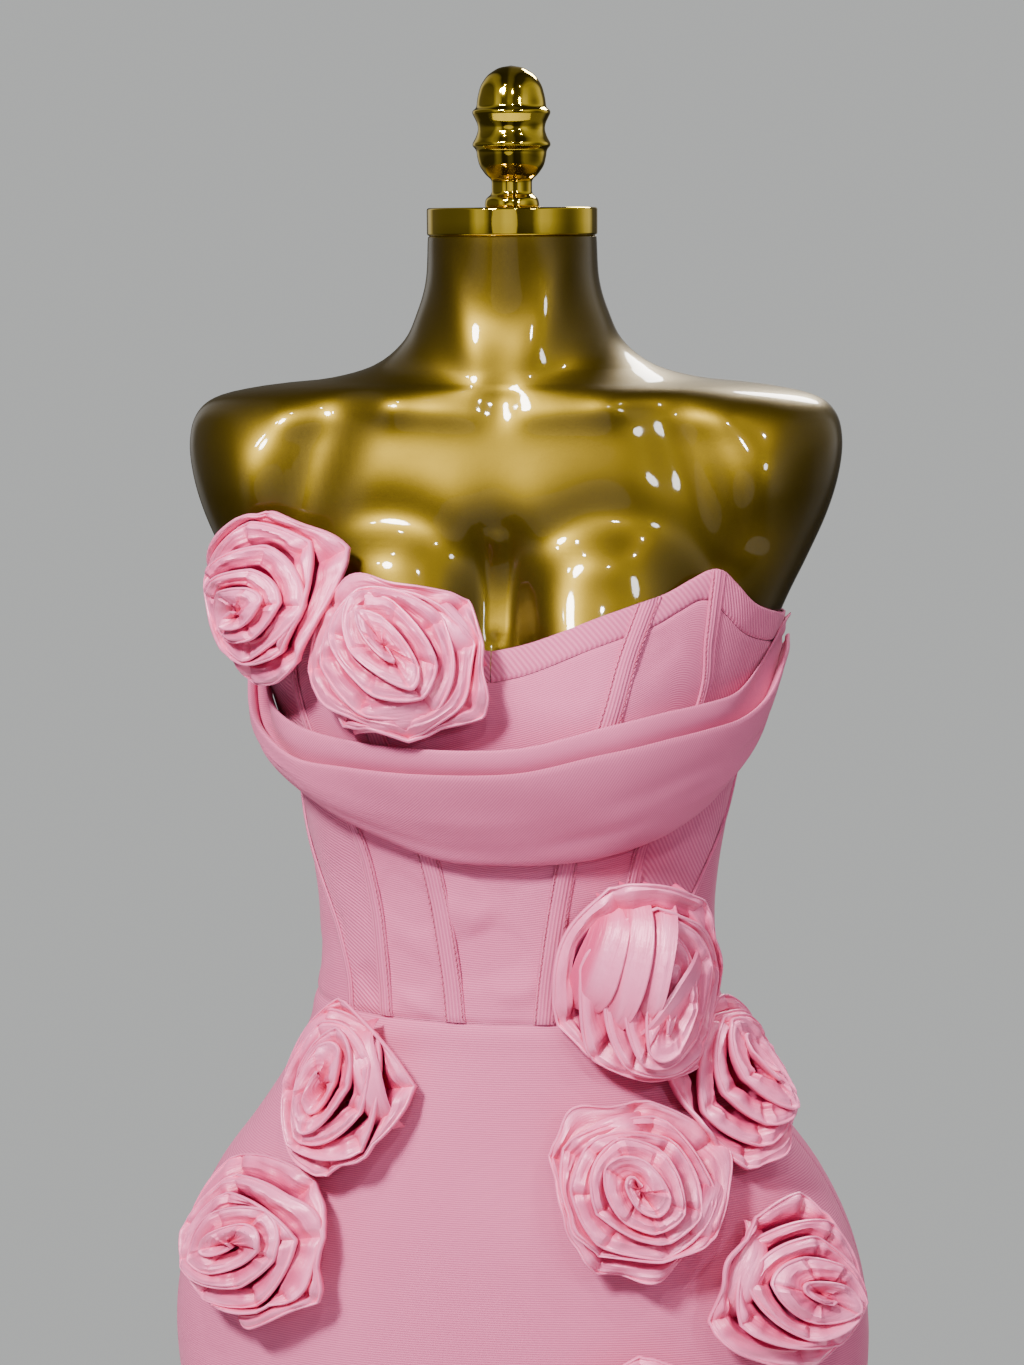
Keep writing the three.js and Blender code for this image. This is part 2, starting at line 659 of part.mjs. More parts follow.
const kit = await Module();
kit.setup();
const { Manifold } = kit;
const sliderHeight = topEdge(backAngle) - zip.sliderBelowTop;
const sliderBack = offForm(backAngle, sliderHeight + zip.sliderLength / 2, knitFace).y + seamGap;
const pullAxis = { y: sliderBack + zip.sliderWall + arch.inside / 2, z: sliderHeight };

// A block between two corners, in the frame of the pull tab's axis: across, out of the back, up
function block(low, high) {
  const size = high.map((value, i) => value - low[i]);
  return Manifold.cube(size).translate([low[0], pullAxis.y + low[1], pullAxis.z + low[2]]);
}

function fromManifold(made) {
  const mesh = made.getMesh();
  const geometry = new THREE.BufferGeometry();
  geometry.setAttribute("position", new THREE.BufferAttribute(mesh.vertProperties, 3));
  geometry.setIndex(new THREE.BufferAttribute(mesh.triVerts, 1));
  return geometry.toNonIndexed();
}

function zipSlider() {
  const half = zip.sliderLength / 2;
  const face = -arch.inside / 2;
  const body = block([-zip.sliderWidth / 2, face - zip.sliderWall, -half], [zip.sliderWidth / 2, face, half]);
  const bar = (low, high) => block([-arch.width / 2, ...low], [arch.width / 2, ...high]);
  const reach = arch.reach;
  const inner = reach - arch.wall;
  return fromManifold(
    body
      .add(bar([face - 0.2, inner], [arch.inside / 2 + arch.wall, reach]))
      .add(bar([face - 0.2, -reach], [arch.inside / 2 + arch.wall, -inner]))
      .add(bar([arch.inside / 2, -reach], [arch.inside / 2 + arch.wall, reach])),
  );
}

function pullTab() {
  const half = pull.wall / 2;
  const round = pull.width / 2;
  const tab = block([-round, -half, round - pull.length], [round, half, pull.bar]);
  const end = Manifold.cylinder(pull.wall, round, round, 20, true)
    .rotate([90, 0, 0])
    .translate([0, pullAxis.y, pullAxis.z + round - pull.length]);
  const slot = pull.window / 2;
  const window = block([-slot, -half - 1, -pull.windowEnd], [slot, half + 1, -pull.bar]);
  return fromManifold(tab.add(end).subtract(window));
}

function paint(color, roughness, metalness) {
  return new THREE.MeshStandardMaterial({ color, roughness, metalness });
}
const knitPink = paint(0xe59bb2, 0.85, 0);
const satinPink = paint(0xf3b0c4, 0.4, 0);
const formGold = paint(0x9a7b1e, 0.25, 0.6);
const polishedGold = paint(0xd8b23c, 0.12, 1);
const zipPink = paint(0xd98aa4, 0.5, 0);

const dress = new THREE.Group();

function add(name, geometry, material, lift = 0) {
  const mesh = new THREE.Mesh(geometry, material);
  mesh.name = name;
  mesh.position.z = lift;
  dress.add(mesh);
  return mesh;
}

function standing(outline) {
  outline.rotateX(Math.PI / 2);
  return outline;
}

const capBottom = neckTop + seamGap;
add("stand_foot", standing(standFoot()), polishedGold);
const poleBottom = foot.dome + seamGap;
const collarBottom = formBottom - seamGap - collar.thickness;
const poleLength = collarBottom - seamGap - poleBottom;
const poleOutline = [[0, 0], [pole.radius, 0], [pole.radius, poleLength], [0, poleLength]];
add("stand_pole", standing(turned(poleOutline, 32)), polishedGold, poleBottom);
add("pole_collar", standing(poleCollar()), polishedGold, collarBottom);
add("form_torso", formTorso(), formGold);
add("neck_cap", standing(neckCap()), polishedGold, capBottom);
add("finial", standing(finial()), polishedGold, capBottom + cap.thickness + seamGap);
for (const made of [bodicePanels(), skirtPanels(), bindings(), boningChannels()]) {
  for (const [name, geometry] of Object.entries(made)) add(name, geometry, knitPink);
}
add("cowl_band", cowlBand(), knitPink);
for (const spec of roses) add(spec.name, rose(spec), satinPink);
add("zip_teeth", zipTeeth(), zipPink);
add("zip_slider", zipSlider(), zipPink);
add("zip_pull", pullTab(), zipPink);

export default dress;
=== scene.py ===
import math
import bpy
import numpy as np
from mathutils import Matrix, Vector


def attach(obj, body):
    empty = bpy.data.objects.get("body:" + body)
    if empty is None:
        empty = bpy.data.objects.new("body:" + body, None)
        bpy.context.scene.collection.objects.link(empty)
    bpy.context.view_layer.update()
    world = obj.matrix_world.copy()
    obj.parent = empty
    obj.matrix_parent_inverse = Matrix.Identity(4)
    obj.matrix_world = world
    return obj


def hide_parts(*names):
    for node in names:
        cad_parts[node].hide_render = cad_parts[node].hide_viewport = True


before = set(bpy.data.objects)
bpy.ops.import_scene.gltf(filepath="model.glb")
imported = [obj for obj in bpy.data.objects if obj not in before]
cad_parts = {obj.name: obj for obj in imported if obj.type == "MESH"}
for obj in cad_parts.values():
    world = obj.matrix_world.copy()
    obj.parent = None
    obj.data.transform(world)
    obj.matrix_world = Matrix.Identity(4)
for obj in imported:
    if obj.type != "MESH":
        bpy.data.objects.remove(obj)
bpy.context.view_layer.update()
mm = 0.001
dressBody = "dress_and_form"
print("frame loaded:", len(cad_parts), "solids")

# the form's level sections in millimetres: height, half width, depth in front and behind, squareness
sections = np.array([
    (600, 180, 103, 112, 2.2), (640, 184, 105, 115, 2.2), (690, 193, 108, 122, 2.15),
    (740, 205, 111, 132, 2.15), (790, 211.5, 112, 139, 2.15), (830, 210, 111, 139, 2.15),
    (870, 200, 108, 134, 2.15), (905, 183, 104, 126, 2.15), (935, 161, 99, 116, 2.15),
    (965, 141, 94, 105, 2.15), (995, 125.5, 89, 94, 2.2), (1019, 119.5, 86, 87, 2.2),
    (1045, 117, 85, 83, 2.2), (1075, 117, 85, 82, 2.25), (1105, 120, 86, 84, 2.3),
    (1135, 125, 87, 88, 2.3), (1165, 131, 88, 92, 2.35), (1200, 141, 88, 96, 2.4),
    (1235, 152, 88, 99, 2.4), (1260, 162, 88, 101, 2.45), (1285, 174, 86, 102, 2.5),
    (1310, 185, 82, 101, 2.55), (1332, 191.5, 77, 98, 2.6), (1352, 193.5, 72, 94, 2.6),
    (1368, 189.5, 68, 88, 2.45), (1378, 177, 65, 83, 2.25), (1384, 149, 63, 78, 2.1),
    (1388, 112, 61, 73, 2.0), (1396, 83, 58, 67, 2.0), (1410, 65, 55, 61, 2.0), (1427, 56.5, 51, 54, 2.0),
    (1446, 51, 49.5, 50.5, 2.0), (1471.5, 49.5, 49.5, 49.5, 2.0),
])
cup = {"side": 68, "z": 1203, "fullness": 40, "width": 66, "above": 66, "below": 58}
waistHeight = 1019
hemHeight = 630
seamGap = 0.3
clearance = 1.6
wall = 1.5
knitFace = clearance + wall
bindingDepth = 17
zipGap = 6
zipBottom = hemHeight + (waistHeight - seamGap / 2 - hemHeight) * 7 / 13

# the dress's top edge: angle from the centre front, height
neckline = np.array([
    (0, 1240.5), (6, 1246), (16, 1258), (24, 1266), (30, 1271.5), (35, 1279), (39, 1284), (43, 1283),
    (49, 1275), (58, 1264), (68, 1258), (85, 1253), (110, 1249), (145, 1246), (180, 1245),
])
# the bodice's seams: height, angle
seams = {
    "centre": [
        (1019, 10.6), (1058, 12.6), (1094, 14.4), (1118, 16), (1160, 20), (1205, 23.8), (1235, 25.4),
        (1275, 27),
    ],
    "cupSide": [
        (1019, 32), (1050, 34), (1084, 35), (1123, 37.5), (1165, 44), (1213, 49), (1245, 46), (1285, 41),
    ],
    "underarm": [
        (1019, 47), (1043, 50), (1074, 58), (1100, 68), (1125, 80), (1160, 92), (1205, 97), (1256, 99),
    ],
}
seamTop = 1290


def smoothTable(table, count=3001):
    # the table's smooth curve through its rows, sampled closely
    last = len(table) - 1
    at = np.linspace(0, last, count)
    first = np.minimum(at.astype(int), last - 1)
    u = (at - first)[:, None]
    padded = np.vstack([2 * table[0] - table[1], table, 2 * table[-1] - table[-2]])
    p0, p1, p2, p3 = (padded[first + k] for k in range(4))
    m1, m2 = (p2 - p0) / 2, (p3 - p1) / 2
    return ((2 * u**3 - 3 * u**2 + 1) * p1 + (u**3 - 2 * u**2 + u) * m1
            + (3 * u**2 - 2 * u**3) * p2 + (u**3 - u**2) * m2)


sectionCurve = smoothTable(sections.astype(float))
neckCurve = smoothTable(neckline.astype(float))
seamCurves = {name: smoothTable(np.array(rows, float)) for name, rows in seams.items()}


def readCurve(curve, at, column=1):
    return np.interp(at, curve[:, 0], curve[:, column])


def topEdge(angle):
    return readCurve(neckCurve, np.abs(angle))


def seamAngle(seam, z):
    return readCurve(seamCurves[seam], np.clip(z, waistHeight, seamTop))


def cupOut(x, z, spanned):
    # how far the front goes out over the cups, or over both and the hollow between where it is spanned
    reach = np.where(z > cup["z"], cup["above"], cup["below"])
    level = np.exp(-(((z - cup["z"]) / reach) ** 2))
    mound = lambda away: np.exp(-((away / cup["width"]) ** 2))
    across = mound(x - cup["side"]) + mound(x + cup["side"])
    if spanned:
        across = np.where(np.abs(x) < cup["side"], 1 + mound(2 * cup["side"]), across)
    return cup["fullness"] * level * across


def formPoint(angle, z, spanned=False):
    # a point of the form in millimetres, by angle from the centre front and height
    half, front, back, square = (readCurve(sectionCurve, z, k) for k in (1, 2, 3, 4))
    sine, cosine = np.sin(np.radians(angle)), np.cos(np.radians(angle))
    x = half * np.sign(sine) * np.abs(sine) ** (2 / square)
    depth = np.abs(cosine) ** (2 / square)
    y = np.where(cosine < 0, back * depth, -(front + cupOut(x, z, spanned)) * depth)
    return np.stack([x, y, z + 0 * x], axis=-1)


def offForm(angle, z, out, spanned=False):
    # a point off the form along its normal, which small steps in degrees and millimetres give
    angle, z, out = np.broadcast_arrays(*(np.asarray(v, float) for v in (angle, z, out)))
    across = formPoint(angle + 0.4, z, spanned) - formPoint(angle - 0.4, z, spanned)
    along = formPoint(angle, z + 0.6, spanned) - formPoint(angle, z - 0.6, spanned)
    normal = np.cross(across, along)
    normal /= np.linalg.norm(normal, axis=-1, keepdims=True)
    return formPoint(angle, z, spanned) + normal * out[..., None]


def angleOfLength(angle, z, length):
    # the angle that a short length along the form takes up at this place
    run = np.linalg.norm(formPoint(angle + 0.5, z) - formPoint(angle - 0.5, z), axis=-1)
    return length / run


def ease(t):
    t = np.clip(t, 0, 1)
    return t * t * (3 - 2 * t)


def softNoise(seed, *coordinates):
    # a slow wander between -1 and 1, the same in every run
    chance = np.random.default_rng(seed)
    total = 0
    for octave in range(4):
        turn = sum(chance.uniform(0.6, 1.3) * chance.choice([-1, 1]) * c for c in coordinates)
        total = total + np.sin(turn * (1 + 0.8 * octave) + chance.uniform(0, 6.28)) / (1 + 0.8 * octave)
    return total / 1.7


# Shader nodes
class Wire:
    # one number or vector of a shader, so that its maths reads as plain expressions
    def __init__(self, paint, socket):
        self.paint = paint
        self.socket = socket

    def __add__(self, other):
        return self.paint.maths("ADD", self, other)

    def __radd__(self, other):
        return self.paint.maths("ADD", other, self)

    def __sub__(self, other):
        return self.paint.maths("SUBTRACT", self, other)

    def __rsub__(self, other):
        return self.paint.maths("SUBTRACT", other, self)

    def __mul__(self, other):
        return self.paint.maths("MULTIPLY", self, other)


class Paint:
    # a material: fixed numbers go on the shader's own sockets, and what varies is linked
    def __init__(self, name, fixed, tree=None):
        if tree:
            self.tree = tree
            return
        self.material = bpy.data.materials.new(name)
        self.material.use_nodes = True
        self.tree = self.material.node_tree
        self.shader = self.tree.nodes["Principled BSDF"]
        for socket, value in fixed.items():
            self.shader.inputs[socket].default_value = value

    def add(self, kind, settings=None, values=None):
        node = self.tree.nodes.new("ShaderNode" + kind)
        for name, value in (settings or {}).items():
            if name == "stops":
                while len(node.color_ramp.elements) < len(value):
                    node.color_ramp.elements.new(0.5)
                for element, (place, grey) in zip(node.color_ramp.elements, value):
                    element.position = place
                    element.color = (grey, grey, grey, 1)
            else:
                setattr(node, name, value)
        for name, value in (values or {}).items():
            self.put(node.inputs[name], value)
        return node

    def put(self, socket, value):
        if isinstance(value, Wire):
            self.tree.links.new(value.socket, socket)
        elif value is not None:
            socket.default_value = value

    def wire(self, node, output=0):
        return Wire(self, node.outputs[output])

    def maths(self, how, *numbers):
        return self.wire(self.add("Math", {"operation": how}, dict(enumerate(numbers))))

    def sine(self, turn):
        return self.maths("SINE", turn)

    def waves(self, along, period):
        return self.sine(along * (2 * math.pi / period))

    def limit(self, number):
        return self.wire(self.add("Clamp", {}, {"Value": number}), "Result")

    def blend(self, factor, one, other, how="MIX"):
        node = self.add("Mix", {"data_type": "RGBA", "blend_type": how}, {0: factor, 6: one, 7: other})
        return self.wire(node, 2)

    def place(self):
        return self.wire(self.add("TexCoord"), "Object")

    def parts(self, vector):
        # the numbers of a vector
        split = self.add("SeparateXYZ", {}, {"Vector": vector})
        return [self.wire(split, k) for k in range(3)]

    def layer(self, name):
        # the two numbers of one of the piece's own layers
        return self.parts(self.wire(self.add("UVMap", {"uv_map": name})))[:2]

    def noise(self, where, scale, detail=3.0, rough=0.55):
        values = {"Vector": where, "Scale": scale, "Detail": detail, "Roughness": rough}
        return self.wire(self.add("TexNoise", {}, values))

    def bump(self, height, distance, strength=1.0, under=None):
        values = {"Height": height, "Distance": distance, "Strength": strength, "Normal": under}
        return self.wire(self.add("Bump", {}, values))

    def feed(self, socket, value):
        self.put(self.shader.inputs[socket], value)


def colour(red, green, blue):
    # a picture colour of 0 to 255 as the light it stands for
    light = [((v / 255 + 0.055) / 1.055) ** 2.4 if v > 10 else v / 3295 for v in (red, green, blue)]
    return (*light, 1)


def ribKnit(name, look):
    # knit with raised ribs along a direction, and small stitches along each rib, with painted shade in the
    # grooves
    fixed = {"Sheen Weight": 0.08, "Sheen Roughness": 0.4, "Specular IOR Level": 0.3}
    paint = Paint(name, fixed)
    across, up = paint.layer("cloth")  # the cloth's own two directions, in metres
    lean = math.radians(look["lean"])
    level = up * math.cos(lean) + across * math.sin(lean)
    along = across * math.cos(lean) - up * math.sin(lean)
    where = paint.place()
    wander = paint.noise(where, 60, 2.0)
    turn = (level + wander * look["wander"]) * (2 * math.pi / look["period"])
    rib = paint.sine(turn) * 0.5 + 0.5
    sway = paint.sine(turn * 0.5) * 1.5
    stitch = paint.sine(along * (2 * math.pi / look["stitch"]) + sway) * 0.5 + 0.5
    fuzz = paint.noise(where, 2600, 2.0, 0.7)
    cloudy = paint.noise(where, 14, 3.0)
    height = rib * 0.75 + stitch * rib * 0.18 + fuzz * 0.12
    # painted shade: darker in the ribs' grooves and between the stitches, with random mottle over it
    shade = paint.limit(rib * 0.62 + stitch * 0.13 + fuzz * 0.3 + cloudy * 0.25 - 0.12)
    paint.feed("Base Color", paint.blend(shade, look["grooveShadeAndMottle"], look["face"]))
    paint.feed("Roughness", 0.9 - rib * 0.14)
    paint.feed("Normal", paint.bump(height, look["depth"], 0.85))
    return paint.material


def satin(name, look):
    # a pearly weave with long soft folds along the strip and small creases across it, and, where a fold
    # colour is given, a painted shade deep in the rose's folds
    paint = Paint(name, {"Specular IOR Level": 0.75, "Metallic": 0.1})
    across, up = paint.layer("cloth")
    where = paint.place()
    slub = paint.noise(where, 900, 3.0, 0.6)
    cloudy = paint.noise(where, 30, 2.0)
    weave = paint.waves(across, 0.00045) * paint.waves(up, 0.0006)
    shade = paint.limit(cloudy * 0.9 + slub * 0.25 - 0.05)
    tone = paint.blend(shade, look["deep"], look["face"])
    # painted shade: the fold colour darkens the satin deep in the rose's folds
    if "fold" in look:
        tone = paint.blend(paint.layer("openness")[0], look["fold"], tone)
    paint.feed("Base Color", tone)
    paint.feed("Roughness", paint.limit(0.34 + slub * 0.08 + cloudy * 0.08))
    stretched = paint.add("CombineXYZ", {}, {"X": across * 30, "Y": up * 260, "Z": 0.5})
    folds = paint.noise(paint.wire(stretched), 1.0, 3.0, 0.5)
    creases = paint.noise(where, 110, 4.0, 0.6)
    small = paint.bump(weave * 0.3 + slub, 0.00006, 0.5)
    paint.feed("Normal", paint.bump(folds + creases * 0.5, 0.0022, 0.55, small))
    return paint.material


def lacqueredGold(name, look):
    # fine gold flakes under a clear coat
    fixed = {"Metallic": 0.92, "Coat Roughness": 0.045, "Coat IOR": 1.45}
    paint = Paint(name, fixed)
    where = paint.place()
    flake = paint.noise(where, 2300, 1.0, 0.4)
    cloudy = paint.noise(where, 9, 3.0)
    orange = paint.noise(where, 120, 2.0)
    shade = paint.limit(cloudy * 0.5 + flake * 0.6 - 0.1)
    paint.feed("Base Color", paint.blend(shade, look["deep"], look["face"]))
    paint.feed("Roughness", paint.limit(0.3 + flake * 0.12 + cloudy * 0.06))
    paint.feed("Coat Weight", 0.72 - paint.noise(where, 40, 4.0, 0.7) * 0.1)
    paint.feed("Normal", paint.bump(orange + flake * 0.3, 0.00006, 0.5))
    return paint.material


def polishedMetal(name, look):
    paint = Paint(name, {"Metallic": 1.0})
    where = paint.place()
    smear = paint.noise(where, 55, 5.0, 0.65)
    scratch = paint.noise(where, 420, 2.0, 0.5)
    paint.feed("Base Color", paint.blend(paint.limit(smear * 0.8 + 0.1), look["deep"], look["face"]))
    paint.feed("Roughness", paint.limit(smear * look["smear"] + scratch * 0.02 + look["rough"]))
    paint.feed("Normal", paint.bump(scratch + smear, 0.00002, 0.4))
    return paint.material


# the knit's pink on its ribs, and a darker pink for the painted shade in its grooves and for random mottle
pink = {"face": colour(230, 124, 166), "grooveShadeAndMottle": colour(196, 84, 130)}
# each knit: how far its ribs lean in degrees, then their period, a stitch, their wander and depth in metres
knits = {
    "knit": ("fine_rib_knit", 0, 0.0014, 0.0011, 0.0003, 0.00016),
    "sideKnit": ("leaning_rib_knit", 38, 0.0022, 0.0013, 0.0004, 0.0004),
    "binding": ("binding_rib", 52, 0.0024, 0.0013, 0.0004, 0.0004),
    "channel": ("channel_rib", 90, 0.0021, 0.0012, 0.0002, 0.0004),
    "cowl": ("cowl_twill", -42, 0.0012, 0.001, 0.0002, 0.00013),
}
finishes = {}
for key, (name, *numbers) in knits.items():
    look = dict(zip(("lean", "period", "stitch", "wander", "depth"), numbers))
    finishes[key] = ribKnit(name, {**pink, **look})
# each smooth finish: how it is made, its lighter and darker colour, and what else it needs, such as the
# painted shade colour for the rose's folds
smooth = {
    "satin": ("rose_satin", satin, (255, 150, 196), (255, 118, 172), {"fold": colour(224, 72, 126)}),
    "thread": ("sewing_thread", satin, (216, 104, 142), (196, 80, 120), {}),
    "form": ("lacquered_gold", lacqueredGold, (108, 89, 12), (82, 65, 6), {}),
    "cap": ("polished_gold", polishedMetal, (236, 206, 70), (226, 190, 50), {"smear": 0.04, "rough": 0.03}),
    "stand": ("brushed_gold", polishedMetal, (220, 184, 96), (206, 166, 76), {"smear": 0.12, "rough": 0.16}),
    "zip": ("zip_coil", satin, (220, 112, 148), (200, 88, 126), {}),
    "zipMetal": (
        "zip_enamel", polishedMetal, (222, 124, 156), (212, 104, 140), {"smear": 0.1, "rough": 0.25},
    ),
}
for key, (name, kind, face, deep, more) in smooth.items():
    finishes[key] = kind(name, {"face": colour(*face), "deep": colour(*deep), **more})
print("finishes made:", len(finishes))


# Mesh helpers
def only(obj):
    # nothing else selected, and this one active
    for other in bpy.context.selected_objects:
        other.select_set(False)
    obj.select_set(True)
    bpy.context.view_layer.objects.active = obj


def applied(obj, kind, **settings):
    only(obj)
    bpy.ops.object.modifier_add(type=kind)
    modifier = obj.modifiers[-1]
    for name, value in settings.items():
        setattr(modifier, name, value)
    bpy.ops.object.modifier_apply(modifier=modifier.name)


def finish(obj, material, replaced=(), body=dressBody):
    only(obj)
    bpy.ops.object.transform_apply(location=True, rotation=True, scale=True)
    obj.data.materials.clear()
    obj.data.materials.append(material)
    bpy.ops.object.shade_smooth_by_angle(angle=math.radians(38))
    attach(obj, body)
    if replaced:
        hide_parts(*replaced)
    return obj


def runLength(points, axis):
    steps = np.linalg.norm(np.diff(points, axis=axis), axis=-1)
    return np.insert(np.cumsum(steps, axis=axis), 0, 0, axis=axis)


def meshObject(name, points, edges, faces):
    # a new piece from points in millimetres
    mesh = bpy.data.meshes.new(name)
    mesh.from_pydata((np.asarray(points, float) * mm).tolist(), edges, faces)
    obj = bpy.data.objects.new(name, mesh)
    bpy.context.scene.collection.objects.link(obj)
    return obj


def inEditMode(obj, *steps):
    # each step works on all of the mesh
    only(obj)
    bpy.ops.object.mode_set(mode="EDIT")
    for operator, settings in steps:
        bpy.ops.mesh.select_all(action="SELECT")
        operator(**settings)
    bpy.ops.object.mode_set(mode="OBJECT")


mergeDoubles = (bpy.ops.mesh.remove_doubles, {"threshold": 0.00001})
faceOutwards = (bpy.ops.mesh.normals_make_consistent, {"inside": False})


def gridMesh(name, points, uv, openness=None):
    # a sheet over a grid of rows and columns of points in millimetres
    rows, columns = points.shape[:2]
    index = np.arange(rows * columns).reshape(rows, columns)
    corners = [index[:-1, :-1], index[:-1, 1:], index[1:, 1:], index[1:, :-1]]
    faces = np.stack(corners, axis=-1).reshape(-1, 4)
    obj = meshObject(name, points.reshape(-1, 3), [], faces.tolist())
    layers = {"cloth": uv.reshape(-1, 2)}
    if openness is not None:
        # how far each point lies out of the painted shade in the folds, 0 to 1
        layers["openness"] = np.repeat(np.clip(openness, 0, 1).reshape(-1, 1), 2, axis=1)
    for word, values in layers.items():
        layer = obj.data.uv_layers.new(name=word)
        layer.data.foreach_set("uv", values[faces.reshape(-1)].ravel().astype(np.float32))
    return obj


def clothUv(points):
    # the lengths along the cloth from its middle column and its first row, in metres
    across = runLength(points, 1)
    across = across - across[:, across.shape[1] // 2][:, None]
    up = runLength(points, 0).mean(axis=1)[:, None] + 0 * across
    return np.stack([across, up], axis=-1) * mm


def areaOf(points):
    a, b, c, d = points[:-1, :-1], points[:-1, 1:], points[1:, 1:], points[1:, :-1]
    both = np.linalg.norm(np.cross(b - a, c - a), axis=-1) + np.linalg.norm(np.cross(c - a, d - a), axis=-1)
    return both.sum() / 2 * mm * mm


leastWidth = 0.0101  # the narrowest strip width taken for a flat cut, in metres


def declareSheet(points, cut=1.0):
    # the flat cut: its box, and its own area where that is less
    width = max(runLength(points, 1)[:, -1].max() * mm * cut, leastWidth)
    length = runLength(points, 0)[-1].max() * mm
    area = min(areaOf(points) * cut, width * length)


def spaced(count, width, edges=(0.5, 1.3, 2.6)):
    # shares from 0 to 1, closer together beside both ends
    near = np.array([e / width for e in edges])
    middle = np.linspace(near[-1], 1 - near[-1], count)[1:-1]
    return np.concatenate([[0], near, middle, 1 - near[::-1], [1]])


def tuck(distance, depth, reach):
    # an edge rolled in: nothing past its reach, and all of its depth at the edge
    return -depth * (1 - ease(distance / reach))


# soft creases: start and end as angle and height, then width and depth, a depth below 0 for a trough
bodiceCreases = [
    (-3, 1104, 9, 1122, 13, -3.2), (-9, 1050, 3, 1068, 11, -2.8), (0, 1036, 9, 1044, 7, 1.2),
    (-12, 1092, -2, 1082, 12, 1.6), (17, 1060, 27, 1078, 12, -2.2), (20, 1040, 29, 1046, 8, 1.2),
    (-30, 1100, -18, 1080, 12, -2.4), (-31, 1056, -19, 1042, 10, -2.0), (-27, 1030, -17, 1026, 6, 1.0),
    (5, 1222, 18, 1228, 11, -1.4), (28, 1232, 36, 1246, 9, -1.2), (-36, 1030, -42, 1046, 7, -1.4),
    (52, 1070, 66, 1054, 9, -1.6), (70, 1046, 96, 1034, 8, -1.8), (-54, 1068, -70, 1050, 9, -1.6),
    (-74, 1044, -100, 1030, 8, -1.8), (110, 1060, 150, 1042, 9, -2.0), (118, 1096, 158, 1080, 10, -1.6),
    (-112, 1056, -152, 1038, 9, -2.0), (-120, 1090, -160, 1074, 10, -1.6), (130, 1030, 168, 1026, 6, 1.2),
    (-128, 1028, -166, 1024, 6, 1.2), (120, 1180, 165, 1170, 12, -1.2), (-118, 1178, -163, 1166, 12, -1.2),
]
skirtCreases = [
    (-70, 1002, -28, 1008, 6, 1.2), (-62, 988, -20, 996, 8, -1.3), (28, 1000, 66, 1006, 6, 1.1),
    (18, 986, 58, 992, 8, -1.2), (-96, 1000, -130, 1006, 6, -1.3), (98, 1002, 134, 1008, 6, -1.3),
    (-140, 996, -172, 990, 8, 1.2), (140, 996, 172, 992, 8, 1.2), (-60, 700, -20, 690, 16, -1.0),
    (24, 694, 70, 706, 16, -1.0), (-150, 716, -110, 700, 16, -1.2), (112, 704, 152, 716, 16, -1.2),
]


def creaseOut(creases, angle, z):
    perDegree = 2.2  # about how many millimetres a degree is round the dress
    total = np.zeros(np.broadcast(angle, z).shape)
    for a0, z0, a1, z1, width, depth in creases:
        x = angle * perDegree
        dx, dy = (a1 - a0) * perDegree, z1 - z0
        along = ((x - a0 * perDegree) * dx + (z - z0) * dy) / (dx * dx + dy * dy)
        away = (-(x - a0 * perDegree) * dy + (z - z0) * dx) / math.hypot(dx, dy)
        away = away + 2.0 * np.sin(along * 3 + a0)
        fade = ease((along + 0.25) / 0.5) * ease((1.25 - along) / 0.5)
        total = total + depth * fade * np.exp(-((away / width) ** 2))
    return total


def panelPlace(left, right, bottom, top, across, up):
    # angle and height of each share of a panel, in a few rounds, as its edges and its top meet
    z = bottom + (1240 - bottom) * up
    for _ in range(8):
        angle = left(z) + (right(z) - left(z)) * across
        z = bottom + (top(angle) - bottom) * up
    return angle, z


def besideSeam(seam, side, toFront):
    def edge(z):
        angle = seamAngle(seam, z)
        half = angleOfLength(angle, z, seamGap / 2)
        return side * (angle - half if toFront else angle + half)
    return edge


def besideSide(side, toFront):
    return lambda z: side * (90 + (-1 if toFront else 1) * angleOfLength(90.0, z, seamGap / 2))


def besideZip(side):
    return lambda z: side * (180 - angleOfLength(179.0, z, np.where(z > zipBottom - 1, zipGap, seamGap) / 2))


# what each knit panel is: its two upright edges, and how many columns and rows of points it has
knitPanels = {
    "bodice_front": (besideSeam("centre", -1, True), besideSeam("centre", 1, True), 60, 76),
    "skirt_front": (besideSide(-1, True), besideSide(1, True), 120, 96),
}
for side, word in ((-1, "left"), (1, "right")):
    cupEdges = (besideSeam("centre", side, False), besideSeam("cupSide", side, True))
    sideEdges = (besideSeam("cupSide", side, False), besideSeam("underarm", side, True))
    knitPanels["bodice_cup_" + word] = (*cupEdges, 34, 76)
    knitPanels["bodice_side_" + word] = (*sideEdges, 40, 76)
    knitPanels["bodice_back_" + word] = (besideSeam("underarm", side, False), besideZip(side), 60, 66)
    knitPanels["skirt_back_" + word] = (besideSide(side, False), besideZip(side), 62, 90)
# the panels' shells: thickness, how near the form they come, and what share of their worn width is cut
panelShell = {"thick": 1.2, "nearest": 0.35, "cut": 0.95, "seamDip": 0.9, "deepest": -1.4, "creases": 1.5}
# about how wide and tall the panels are, by how their names start, which spaces their points
panelSizes = {
    "skirt_front": (430, waistHeight - hemHeight),
    "skirt_back": (230, waistHeight - hemHeight),
    "bodice": (60, 225),
}
midBodice = 1100.0


